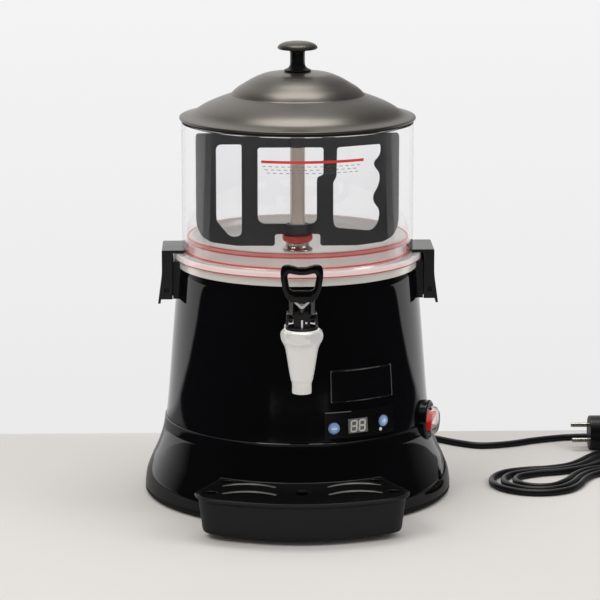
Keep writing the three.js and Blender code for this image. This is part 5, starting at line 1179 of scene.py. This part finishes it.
def build_tap():
    """Satin chrome tap: nozzle with its six-sided collar, boss, shank, nut and washer, and the
    black bonnet with its turret."""
    small = sizes().small_steps
    angle = np.linspace(0, FULL_TURN, 192, endpoint=False)[:, None]
    spout = rounded([(6.5, 139.0), (9.5, 139.0), (9.5, 149.4), (10.6, 151.6)], [0, 0.7, 3, 0], 4, False)
    flare = smooth_through([(10.6, 151.6), (12.3, 160.5), (14.1, 172), (15.2, 179), (16.4, 184.6), (18.1, 188.6),
                            (19.9, 191.8), (20.9, 195), (20.9, 198), (19.9, 200.6), (18.2, 202.3), (16.2, 203.0)], 90)
    side = np.vstack([[(6.5, 139.0)], spout[1:-1], flare[1:], [(17.0, 203.0), (12.0, 203.0), (12.0, 190), (6.5, 180)]])
    radius = np.broadcast_to(side[:, 0], (192, len(side)))
    height = np.broadcast_to(side[:, 1], radius.shape)
    # Flats: the collar keeps the smaller of its round radius and a six-sided one, its front face
    # turned a little to the left
    collar = (height > 185) & (radius > 12.5)
    radius = np.where(collar, np.minimum(radius, six_sided(angle, 19.1, 90 + 15)), radius)
    grid = np.stack([radius * np.cos(angle), radius * np.sin(angle), height], -1)
    nozzle = shifted(net(grid, True, True), 0, TAP_Y)
    shank_place = (0, TAP_Y, TAP_HEIGHT)

    def rod_back(profile):
        """A profile turned about the line that runs back from the tap into the housing."""
        return turned_by(turned(profile, small), ALONG_Y, shank_place)

    boss = rod_back(rounded([(6, 9), (11, 9), (11, 22), (6, 22)], 0.6, 3))
    piece("tap_nozzle", together(nozzle, boss), finish("satin_chrome"), "housing", ("tap_body",), 26)
    piece("tap_pipe", rod_back(rounded([(6, 14), (9, 14), (9, 45), (6, 45)], 0.4, 2)), finish("satin_chrome"),
          "housing", ("tap_shank",))
    around = np.linspace(0, FULL_TURN, 96, endpoint=False)[:, None]
    nut_side = np.array([(9.3, 22.3), (16.3, 22.3), (17.4, 22.7), (19, 24), (19, 27.1), (17.4, 28.4), (16.3, 28.8),
                         (9.3, 28.8)])
    nut_radius = np.minimum(nut_side[:, 0], six_sided(around, 16.5, 0))
    nut_radius = np.where(nut_side[:, 0] < 10, 9.3, nut_radius)
    nut = np.stack([nut_radius * np.cos(around), nut_radius * np.sin(around), nut_side[:, 1] + 0 * around], -1)
    piece("hex_nut", turned_by(net(nut, True, True), ALONG_Y, shank_place), finish("satin_chrome"), "housing",
          ("tap_nut",))
    piece("washer", rod_back(rounded([(9.3, 29.1), (17.5, 29.1), (17.5, 38.0), (9.3, 38.0)], 0.7, 3)),
          finish("trim_rubber"), "housing", ("tap_washer",))

    base = turned(rounded([(2.8, 203.2), (16.0, 203.2), (16.0, 204.6), (14.6, 205.6), (2.8, 206.0)],
                          [0, 0.4, 0.8, 1, 0], 4), small)
    skirt = turned(rounded([(2.8, 195.3), (11.7, 195.3), (11.7, 203.6), (2.8, 203.6)], 0.2, 2), small)
    head = rounded_block(-8.2, 8.2, -8.4, 8.4, 205.0, 218.3, 1.4)
    piece("bonnet", shifted(together(base, skirt, head), 0, TAP_Y), finish("satin_black"), "housing",
          ("tap_bonnet",))
    sides = [pierced(rounded([(-6.5, 205.2), (12.5, 205.2), (10.5, 219.5), (-4.5, 219.5)], 3, 4), [], 2.4, 0.5,
                     lambda u, v, w, side=side: np.stack([side * (14.0 + (212 - v) * 0.06 + w), u, v], -1))
             for side in (-1, 1)]
    slot = rounded_block(-0.9, 0.9, -8.75, -8.3, 205.0, 213.2, 0.2)
    rivet = turned_by(turned([(0, 0.5), (0.9, 0.35), (1.1, 0), (0, 0)], 24, False), outward(0), (4.1, -8.35, 210.4))
    piece("bonnet_rivets", shifted(together(slot, rivet), 0, TAP_Y), finish("satin_chrome"), "housing")
    piece("bonnet_cheeks", shifted(together(*sides), 0, TAP_Y), finish("fork_steel"), "housing")


# Half of the finger loop's edge and of its window, across and up

LEVER_EDGE = [
    (12.4, 229.0), (13.0, 231.3), (15.9, 235.5), (18.8, 243.6), (20.5, 252.9), (20.9, 260.0), (20.1, 264.6),
    (17.4, 267.0), (13.2, 267.5), (8.4, 266.2), (4.2, 264.9)]
LEVER_WINDOW = [
    (9.6, 242.0), (11.9, 243.6), (12.8, 249.0), (13.9, 255.6), (13.4, 258.0), (11.6, 258.6), (7.3, 257.6),
    (3.1, 256.9)]


def build_lever():
    """Black finger loop with a wavy top, carried on two steel cheeks at the pivot."""

    def both_sides(half):
        """The points and their mirror image (-x, z) in the reverse order."""
        half = np.array(half, float)
        return np.vstack([half, (half * [-1, 1])[::-1]])

    outer = smooth_through(rounded(both_sides(LEVER_EDGE), 1.5, 3), 720, True)
    inner = smooth_through(rounded(both_sides(LEVER_WINDOW), 1.5, 3), 720, True)
    middle = np.array([0.0, 249.5])
    angle = np.linspace(0, FULL_TURN, 240, endpoint=False)

    def reach(loop):
        """The loop's distance from the middle at each angle."""
        away = loop - middle
        bearing = np.arctan2(away[:, 1], away[:, 0]) % FULL_TURN
        order = np.argsort(bearing)
        return np.interp(angle, bearing[order], np.linalg.norm(away, axis=1)[order], period=FULL_TURN)

    near, far = reach(inner)[:, None], reach(outer)[:, None]
    turn = np.linspace(0, FULL_TURN, 32, endpoint=False)[None]
    # A bar of superellipse section between the window and the edge
    lean = np.sign(np.cos(turn)) * np.abs(np.cos(turn)) ** 0.8
    lift = np.sign(np.sin(turn)) * np.abs(np.sin(turn)) ** 0.8
    radius = (near + far) / 2 + (far - near) / 2 * lean
    ring = np.stack([radius * np.cos(angle)[:, None], 3.1 * lift + 0 * radius,
                     middle[1] + radius * np.sin(angle)[:, None]], -1)
    loop = shifted(net(ring, True, True), 0, TAP_Y - 4.0)
    piece("finger_loop", loop, finish("lever_gloss"), "lever", ("tap_lever",), 50)

    sweep = np.linspace(-math.pi, 0, 14)
    cheek = np.vstack([
        np.stack([5.4 + 5.4 * np.cos(sweep), 213.3 + 5.4 * np.sin(sweep)], -1),
        [(3.5, 228.97), (-1.5, 233.97), (-6.4, 233.97), (-6.4, 218.3)]])
    cheeks = [pierced(rounded(cheek, 1.0, 2), [], 3.8, 0.5, flat_yz(side * 10.5)) for side in (-1, 1)]
    # A thin sheet folded to a V between the cheeks
    fold = [(-8.0, 230.4), (-5.0, 230.4), (0, 226.6), (5.0, 230.4), (8.0, 230.4), (1.7, 224.3), (0, 223.7),
            (-1.7, 224.3)]
    clip = pierced(rounded(fold, 0.6, 3), [], 1.2, 0.3, flat_xz(-5.9))
    piece("lever_fork", shifted(together(*cheeks), 0, TAP_Y), finish("fork_steel"), "lever")
    piece("lever_clip", shifted(clip, 0, TAP_Y), finish("clip_steel"), "lever")


# The radii of the tray outline's corners, from the back of one side to the middle of the front

TRAY_ROUNDING = [3, 6, 8, 5, 8, 12, 20, 20, 20, 20]


def tray_half(inset):
    """Half of the tray's outline, each place moved in by the inset: the side's corners, then the
    front's bow from 96 mm out to the middle, 25 mm further forward."""
    front = np.array([(1, 0), (0.8, 0.34), (0.55, 0.66), (0.28, 0.91), (0, 1)])
    curve = np.stack([front[:, 0] * (96 - inset), inset - 205 - front[:, 1] * 25], -1)
    return np.vstack([
        [(80 - inset, -110.6), (82.5 - inset, -134.07), (103.5 - inset, -176), (106 - inset, -181),
         (103.5 - inset, -193)], curve])


def tray_loop(inset, height, gap, front_count=150, back_count=60):
    """The tray's outline at one height: the moulded front and sides, drawn in below by the draft,
    then back round the skirt at the skirt's radius and a gap. The two meet where the side crosses
    that circle."""
    half = tray_half(inset)
    full = np.vstack([half, (half[:-1] * [-1, 1])[::-1]])
    full = smooth_through(rounded(full, TRAY_ROUNDING + TRAY_ROUNDING[-2::-1], 4, False), 600)
    down = (44 - height) / 38
    full = np.stack([full[:, 0] * (1 - 0.05 * down), (full[:, 1] + 181) * (1 - 0.1 * down) - 181], -1)
    reach = float(skirt_radius(max(height, 7.0))) + gap
    outside = full[np.linalg.norm(full, axis=1) >= reach]
    outside = np.vstack([outside[:1] / np.linalg.norm(outside[0]) * reach, outside,
                         outside[-1:] / np.linalg.norm(outside[-1]) * reach])
    run = np.concatenate([[0], np.cumsum(np.linalg.norm(np.diff(outside, axis=0), axis=1))])
    places = np.linspace(0, run[-1], front_count)
    front = np.stack([np.interp(places, run, outside[:, i]) for i in (0, 1)], -1)
    first, last = (math.atan2(front[i, 0], -front[i, 1]) for i in (0, -1))
    angle = np.linspace(last, first, back_count + 2)[1:-1]
    back = np.stack([reach * np.sin(angle), -reach * np.cos(angle)], -1)
    return np.vstack([front, back])


def lofted(loops, heights):
    """Closed loops at rising heights joined into one skin, its two ends drawn to a point inside."""
    rings = [np.column_stack([loop, np.full(len(loop), height)]) for loop, height in zip(loops, heights)]
    first, last = rings[0].mean(0), rings[-1].mean(0)
    rings = [np.broadcast_to(first, rings[0].shape), *rings, np.broadcast_to(last, rings[0].shape)]
    return net(np.stack(rings, 1), True, False)


def build_tray():
    """Drip tray with drafted walls, a rolled top edge and a back that follows the skirt; its two
    tongues; and the gloss grate with its slots."""
    outside = [(4.6, 6.0), (3.5, 6.5), (3.0, 7.6), (3, 14), (3, 22), (3, 30), (3, 36.5), (2.8, 38.4), (1.4, 40.0),
               (0.1, 40.9), (0, 41.8), (0.0, 42.7), (1.1, 43.95), (1.4, 44.0), (1.6, 43.9), (2.5, 42.9), (2.5, 42.0),
               (2.5, 40.4), (5.5, 39.4), (5.5, 30), (5.5, 20), (5.7, 10.2), (6.6, 8.9), (9, 8.5)]
    loops = [tray_loop(inset, height, 0.8 + inset) for inset, height in outside]
    tub = lofted(loops, [height for _, height in outside])
    tongue_front = -(float(skirt_radius(30)) + 2.5)
    tongue_back = -(float(skirt_radius(30)) - 2.5 - 8)
    tongues = [rounded_block(side * 36 - 6, side * 36 + 6, tongue_front, tongue_back, 30, 34, 1.0)
               for side in (-1, 1)]
    piece("tray_tub", together(tub, *tongues), finish("tray_satin"), "tray", ("drip_tray",))

    # The grate lies inside the tray's rim with 0.3 mm of play all round
    outline = tray_loop(2.8, 43.7, 0.8 + 2.5 + 0.3)
    holes, slopes = [round_loop(7.5, 48, 0, -184)], []
    for side in (-1, 1):
        holes += [round_loop(4.5, 36) * [1.5, 1] + [side * across, -forward]
                  for across, forward in ((73, 140.5), (90, 180))]
        for forward in (186, 214):
            sweep = np.radians(np.linspace(38, 128, 30))
            across, away = -np.cos(sweep) * side, np.sin(sweep)
            # Crescent slots: 4 mm wide in the middle, drawn to a point at both ends
            taper = 4.0 * np.sin(np.linspace(0.12, 0.95, 30) * math.pi) ** 0.6
            outer = np.stack([side * 55 + across * 38.6, away * 38.6 - forward], -1)
            inner = np.stack([side * 55 + across * (37.5 - taper), away * (37.5 - taper) - forward], -1)
            holes.append(np.vstack([outer, inner[::-1]]))
            # The far side of each slot slopes down towards the front and catches the light, and the grate's finish
            # paints a highlight on it
            section = np.array([(39.0, 43.85), (36.7, 42.0), (36.7, 41.3), (39.0, 41.3)])
            grid = np.stack([side * 55 + across[:, None] * section[:, 0], away[:, None] * section[:, 0] - forward,
                             section[:, 1] + 0 * across[:, None]], -1)
            slopes.append(capped_bar(grid))
    plate = pierced(outline, holes, 3.0, 0.7, flat_xy(42.2))
    well = turned([(7.3, 42.2), (8.8, 43.9), (11, 43.78), (9.5, 43.2)], 64)
    piece("grate", together(plate, shifted(well, 0, -184), *slopes), finish("grate_gloss"), "grate",
          ("drip_grate",), 40)


# The buttons: piece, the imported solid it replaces, body, angle from the front and height. Then the
# lamp's angle and height

KEYS = [
    ("left_key", "button_left", "left_button", 14.1, 94.4),
    ("right_key", "button_right", "right_button", 38.0, 96.2),
]
LAMP_AZIMUTH, LAMP_HEIGHT = 36.2, 88.6


def button_places():
    """The middles of the two buttons' faces, in metres in the shared frame."""
    return [tuple(float(x) for x in in_place(on_shell(np.array(arc(azimuth)), np.array(height), np.array(2.2))))
            for *_, azimuth, height in KEYS]


# The seven strokes of a digit, each from one end to the other, as shares of its width and height

SEGMENTS = {
    "top": ((0.12, 1.0), (0.88, 1.0)), "middle": ((0.12, 0.5), (0.88, 0.5)), "bottom": ((0.12, 0.0), (0.88, 0.0)),
    "upper_left": ((0.0, 0.56), (0.0, 0.94)), "upper_right": ((1.0, 0.56), (1.0, 0.94)),
    "lower_left": ((0.0, 0.06), (0.0, 0.44)), "lower_right": ((1.0, 0.06), (1.0, 0.44))}


def build_panel():
    """Film plate with its display, lamp and two buttons, and the bare plate above it."""
    openings = [*[round_loop(6.35, 48, arc(azimuth), height) for *_, azimuth, height in KEYS],
                round_loop(2.1, 24, arc(LAMP_AZIMUTH), LAMP_HEIGHT)]
    film = pierced(even_loop(box_loop(arc(10), arc(43.5), 84.2, 110.6, 2.0)), openings, 0.9, 0.25,
                   lambda u, v, w: on_shell(u, v, w + 0.75), 2, np.arange(arc(10) + 2, arc(43.5), 2.5))
    piece("panel_skin", film, finish("panel_film"), "housing", ("panel_plate",))
    # A grey strip along the left part of the panel's top edge: a painted highlight
    edge_highlight = mound(even_loop(box_loop(arc(10.2), arc(22), 110.0, 110.9, 0.3)),
                     [(0, 1.35), (0.5, 1.35), (1, 1.25), (1, 0.9), (0, 0.9)], on_shell)
    piece("panel_edge_highlight", edge_highlight, finish("silver_line_and_highlight"), "housing")
    window = mound(even_loop(box_loop(arc(20.4), arc(29.6), 88.4, 102.8, 0.6)), [
        (0, 1.5), (0.5, 1.5), (0.97, 1.5), (1, 1.25), (1, 0.3), (0.5, 0.3), (0, 0.3)], on_shell)
    piece("display", window, finish("display_glass"), "housing", ("display_window",))

    bars = []
    wide, tall, base, lean = 6.0, 10.6, 90.2, 0.9
    for left in (arc(20.4) + 2.6, arc(20.4) + 11.6):
        for stroke in SEGMENTS.values():
            start, end = (np.array([left + x * wide + lean * y, base + y * tall]) for x, y in stroke)
            along = (end - start) / np.linalg.norm(end - start)
            across = np.array([-along[1], along[0]]) * 0.78
            tip = along * 0.7
            loop = [start - tip, start + across, end + across, end + tip, end - across, start - across]
            bars.append(mound(loop, [(0, 1.62), (1, 1.62), (1, 1.45), (0, 1.45)], on_shell))
    piece("digits", together(*bars), finish("digit_light"), "housing")

    for name, node, body, azimuth, height in KEYS:
        surface = float(shell_radius(height))
        shape = rounded([(0, -12), (5.4, -12), (6, -11.4), (6, 1.2), (4.4, 1.95), (0, 2.2)],
                        [0, 0.4, 0.4, 0.9, 1.5, 0], 4, False)
        key = out_of_housing(turned(shape, 56, False), azimuth, surface, height)
        piece(name, key, finish("button_blue"), body, (node,))
        bars = [rounded_block(-2.6, 2.6, -0.6, 0.6, 2.0, 2.4, 0.2)]
        if node == "button_right":
            bars.append(rounded_block(-0.6, 0.6, -2.6, 2.6, 2.0, 2.4, 0.2))
        mark = out_of_housing(together(*bars), azimuth, surface, height)
        piece(name + "_mark", mark, finish("mark_white"), body)
    lamp = out_of_housing(turned([(0, 1.75), (1.1, 1.6), (1.8, 1.1), (1.8, -5), (0, -5)], 32, False),
                          LAMP_AZIMUTH, float(shell_radius(LAMP_HEIGHT)), LAMP_HEIGHT)
    piece("lamp", lamp, finish("lamp_lens"), "housing", ("indicator_lamp",))

    plate = mound(even_loop(box_loop(arc(12.7), arc(44.3), 119.7, 152.6, 0.8)), [
        *[(s, 1.1) for s in np.linspace(0, 0.985, 14)], (1, 0.85), (1, 0.3), (0.5, 0.3), (0, 0.3)], on_shell)
    piece("bare_plate", plate, finish("badge_black"), "housing", ("badge_plate",))
    # A thin line just inside the plate's edge, as four bars, the top one a little wider
    borders = []
    left, right, low, high, width = arc(12.7) + 0.7, arc(44.3) - 0.7, 120.4, 151.9, 0.55
    for bar in ((left, right, high - 1.7 * width, high), (left, right, low, low + width),
                (left, left + width, low, high), (right - width, right, low, high)):
        loop = even_loop(box_loop(*bar, 0.05, 1))
        borders.append(mound(loop, [(0, 1.22), (0.5, 1.22), (1, 1.2), (1, 1.0), (0, 1.0)], on_shell))
    piece("plate_border", together(*borders), finish("silver_line_and_highlight"), "housing")


SWITCH_AZIMUTH, SWITCH_HEIGHT = 72.5, 80.5


def build_switch():
    """Round bezel across the seam, the red rocker in it and the clear cover over it."""
    small = sizes().small_steps
    face = float(skirt_radius(80.2)) + 4.2

    def at(shape, depth=0.0):
        """The shape stood out of the housing at the switch, its origin sunk by the depth."""
        return out_of_housing(shape, SWITCH_AZIMUTH, face - depth, SWITCH_HEIGHT)

    ring = rounded([(11.9, -12), (14.3, -12), (14.3, -9), (20.7, -9), (20.7, -1.4), (19.4, 0), (15.4, 0), (14.6, -1.0),
                    (12.6, -1.3), (11.9, -2.4)], [0.3, 0.3, 0.3, 0.3, 1.2, 1.2, 0.8, 0.5, 0.8, 0.5], 4)
    back = mound(round_loop(12.2, 48), [(0, -6.2), (0.6, -6.2), (1, -6.2), (1, -8.2), (0, -8.2)],
                 lambda u, v, w: np.stack([u, v, w], -1))
    piece("bezel", at(together(turned(ring, small), back)), finish("bezel_gloss"), "housing",
          ("switch_bezel",))
    swing = math.radians(8)
    block = rounded_block(-6, 6, -9.3, 9.3, -2.2, 6.0, 1.2)
    pivot = turned_by(turned([(0, -9.3), (1.5, -9.3), (1.5, 9.3), (0, 9.3)], 24, False), ALONG_X)
    columns = ((1, 0, 0), (0, math.cos(swing), math.sin(swing)), (0, -math.sin(swing), math.cos(swing)))
    rocker = turned_by(together(block, pivot), columns)
    piece("rocker_cap", at(rocker, 2.25), finish("switch_red"), "rocker", ("switch_rocker",))
    dome = smooth_through([(14.6, -0.9), (14.6, 3.4), (13.9, 6.0), (11.6, 7.7), (8.0, 8.4), (0, 8.7)], 30)
    skin = np.vstack([dome, dome[::-1] - [1.2, 1.2]])
    skin[:, 0] = np.maximum(skin[:, 0], 0)
    skin[:, 1] = np.maximum(skin[:, 1], -0.9)
    piece("cover", at(turned(skin, small)), finish("clear_cover"), "housing", ("switch_cover",))


def build_latches():
    """Two bent channels that hook over the bowl's foot, with their cheeks."""
    bowl_play, bend, tip = 118.6, 127, 118.7

    def wrapped(u, v, w):
        """The hook plate's inner edge follows the bowl: inside the bend, |u| is drawn out so that
        its tip comes to sqrt(118.6^2 - w^2)."""
        edge = np.sqrt(bowl_play**2 - w**2)
        share = np.clip((bend - np.abs(u)) / (bend - tip), 0, 1)
        moved = np.where(np.abs(u) < bend, bend - share * (bend - edge), np.abs(u))
        return np.stack([np.sign(u) * moved, w, v], -1)

    for side, name in ((-1, "left"), (1, "right")):
        channel = np.array([(118.7, 252.3), (118.7, 255.5), (138.5, 255.5), (138.5, 230), (142.7, 200.4),
                            (140.1, 200.4), (135.9, 230), (135.9, 252.3)])
        channel = rounded(channel, [0.3, 0.3, 1.3, 6, 0.6, 0.6, 6, 0.5], 4) * [side, 1]
        cheek = np.array([(127.8, 252.6), (137.2, 252.6), (137.2, 230), (140.1, 204.8), (127.8, 204.8)]) * [side, 1]
        pin = round_loop(2.3, 32, side * 133.8, 214.3)
        sheet = pierced(channel, [], 56.0, 0.5, wrapped)
        plates = [pierced(rounded(cheek, 0.8, 3), [pin], 2.6, 0.5, flat_xz(y)) for y in (-26.7, 26.7)]
        piece("latch_" + name + "_cover", together(sheet, *plates), finish("satin_black"), name + "_latch",
              ("latch_" + name,))
        rivets = [turned_by(turned([(0, 0.3), (1.6, 0.3), (1.9, 0), (1.9, -3), (0, -3)], 28, False),
                            ((1, 0, 0), (0, 0, 1), (0, y, 0)), (side * 133.8, y * 27.4, 214.3)) for y in (-1, 1)]
        piece("latch_" + name + "_pins", together(*rivets), finish("fork_steel"), "housing")


INNER_FINISHES = {
    "trim_rubber": ("foot_front_left", "foot_front_right", "foot_rear_left", "foot_rear_right"),
    "cast_metal": ("base_plate", "motor_bracket", "gear_motor", "motor_coupling"),
    "brushed_steel": ("water_tank", "heating_element", "temperature_probe", "drive_shaft", "outlet_pipe",
                      "tap_pivot_pin", "tap_stem", "lid_knob_screw"),
    "red_silicone": ("tap_seal",),
    "satin_black": ("switch_body", "latch_bracket_left", "latch_bracket_right"),
    "board_green": ("control_board",),
}


def dress_inner_pieces():
    """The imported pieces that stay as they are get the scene's finishes in their own slots."""
    for name, nodes in INNER_FINISHES.items():
        for node in nodes:
            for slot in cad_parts[node].material_slots:
                slot.material = finish(name)


class DISPENSER_OT_stage(bpy.types.Operator):
    """Makes the level table, the backdrop with its painted light, the lamps and the camera"""

    bl_idname = "dispenser.stage"
    bl_label = "Stage"

    def execute(self, context):
        build_stage()
        return {"FINISHED"}


class DISPENSER_OT_lead(bpy.types.Operator):
    """Makes the mains lead, its plug and its strain relief"""

    bl_idname = "dispenser.lead"
    bl_label = "Mains lead and plug"

    def execute(self, context):
        build_lead()
        return {"FINISHED"}


class DISPENSER_OT_housing(bpy.types.Operator):
    """Makes the flared skirt, the foot band, the shell and the bright ring"""

    bl_idname = "dispenser.housing"
    bl_label = "Housing"

    def execute(self, context):
        build_housing()
        return {"FINISHED"}


class DISPENSER_OT_bowl(bpy.types.Operator):
    """Makes the clear bowl and its printed level marks"""

    bl_idname = "dispenser.bowl"
    bl_label = "Bowl"

    def execute(self, context):
        build_bowl()
        return {"FINISHED"}


class DISPENSER_OT_heated_floor(bpy.types.Operator):
    """Makes the steel dish, the red seals, the column and the shaft's collar"""

    bl_idname = "dispenser.heated_floor"
    bl_label = "Heated floor and seals"

    def execute(self, context):
        build_heated_floor()
        return {"FINISHED"}


class DISPENSER_OT_stirrer(bpy.types.Operator):
    """Makes the grey paddle with its hub and cap"""

    bl_idname = "dispenser.stirrer"
    bl_label = "Stirrer"

    def execute(self, context):
        build_stirrer()
        return {"FINISHED"}


class DISPENSER_OT_lid(bpy.types.Operator):
    """Makes the spun lid, its gasket and its knob"""

    bl_idname = "dispenser.lid"
    bl_label = "Lid and knob"

    def execute(self, context):
        build_lid()
        return {"FINISHED"}


class DISPENSER_OT_tap(bpy.types.Operator):
    """Makes the chrome tap, its nut and washer, and the black bonnet"""

    bl_idname = "dispenser.tap"
    bl_label = "Tap"

    def execute(self, context):
        build_tap()
        return {"FINISHED"}


class DISPENSER_OT_lever(bpy.types.Operator):
    """Makes the finger loop, its fork and its clip"""

    bl_idname = "dispenser.lever"
    bl_label = "Tap lever"

    def execute(self, context):
        build_lever()
        return {"FINISHED"}


class DISPENSER_OT_tray(bpy.types.Operator):
    """Makes the drip tray and the grate in it"""

    bl_idname = "dispenser.tray"
    bl_label = "Tray and grate"

    def execute(self, context):
        build_tray()
        return {"FINISHED"}


class DISPENSER_OT_panel(bpy.types.Operator):
    """Makes the film, the display, the lamp, the buttons and the bare plate"""

    bl_idname = "dispenser.panel"
    bl_label = "Control panel"

    def execute(self, context):
        build_panel()
        return {"FINISHED"}


class DISPENSER_OT_switch(bpy.types.Operator):
    """Makes the round bezel, the red rocker and the clear cover"""

    bl_idname = "dispenser.switch"
    bl_label = "Switch"

    def execute(self, context):
        build_switch()
        return {"FINISHED"}


class DISPENSER_OT_latches(bpy.types.Operator):
    """Makes the two latches at the bowl's foot and their pins"""

    bl_idname = "dispenser.latches"
    bl_label = "Latches"

    def execute(self, context):
        build_latches()
        return {"FINISHED"}


class DISPENSER_OT_inner(bpy.types.Operator):
    """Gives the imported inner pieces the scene's finishes"""

    bl_idname = "dispenser.inner"
    bl_label = "Inner pieces"

    def execute(self, context):
        dress_inner_pieces()
        return {"FINISHED"}


# In the order in which they run: the camera and the lead first

OPERATORS = [
    DISPENSER_OT_stage,
    DISPENSER_OT_lead,
    DISPENSER_OT_housing,
    DISPENSER_OT_bowl,
    DISPENSER_OT_heated_floor,
    DISPENSER_OT_stirrer,
    DISPENSER_OT_lid,
    DISPENSER_OT_tap,
    DISPENSER_OT_lever,
    DISPENSER_OT_tray,
    DISPENSER_OT_panel,
    DISPENSER_OT_switch,
    DISPENSER_OT_latches,
    DISPENSER_OT_inner,
]


class DISPENSER_PT_build(bpy.types.Panel):
    """Lists the build steps, the sizes and the colours"""

    bl_idname = "DISPENSER_PT_build"
    bl_label = "Hot chocolate dispenser"
    bl_space_type = "VIEW_3D"
    bl_region_type = "UI"
    bl_category = "Dispenser"

    def draw(self, context):
        for step in OPERATORS:
            self.layout.operator(step.bl_idname)
        for group in (context.scene.dispenser_sizes, context.scene.dispenser_colours):
            box = self.layout.box()
            for key in group.__annotations__:
                box.prop(group, key)


CLASSES = [DispenserSizes, DispenserColours, *OPERATORS, DISPENSER_PT_build]


def register():
    """Makes the classes known and gives the scene its sizes and colours."""
    for one in CLASSES:
        bpy.utils.register_class(one)
    bpy.types.Scene.dispenser_sizes = bpy.props.PointerProperty(type=DispenserSizes)
    bpy.types.Scene.dispenser_colours = bpy.props.PointerProperty(type=DispenserColours)


def unregister():
    """Takes the sizes, the colours and the classes away again."""
    del bpy.types.Scene.dispenser_colours
    del bpy.types.Scene.dispenser_sizes
    for one in reversed(CLASSES):
        bpy.utils.unregister_class(one)


def main():
    """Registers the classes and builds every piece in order."""
    register()
    for step in OPERATORS:
        getattr(bpy.ops.dispenser, step.bl_idname.split(".")[1])()


if __name__ == "__main__":
    main()
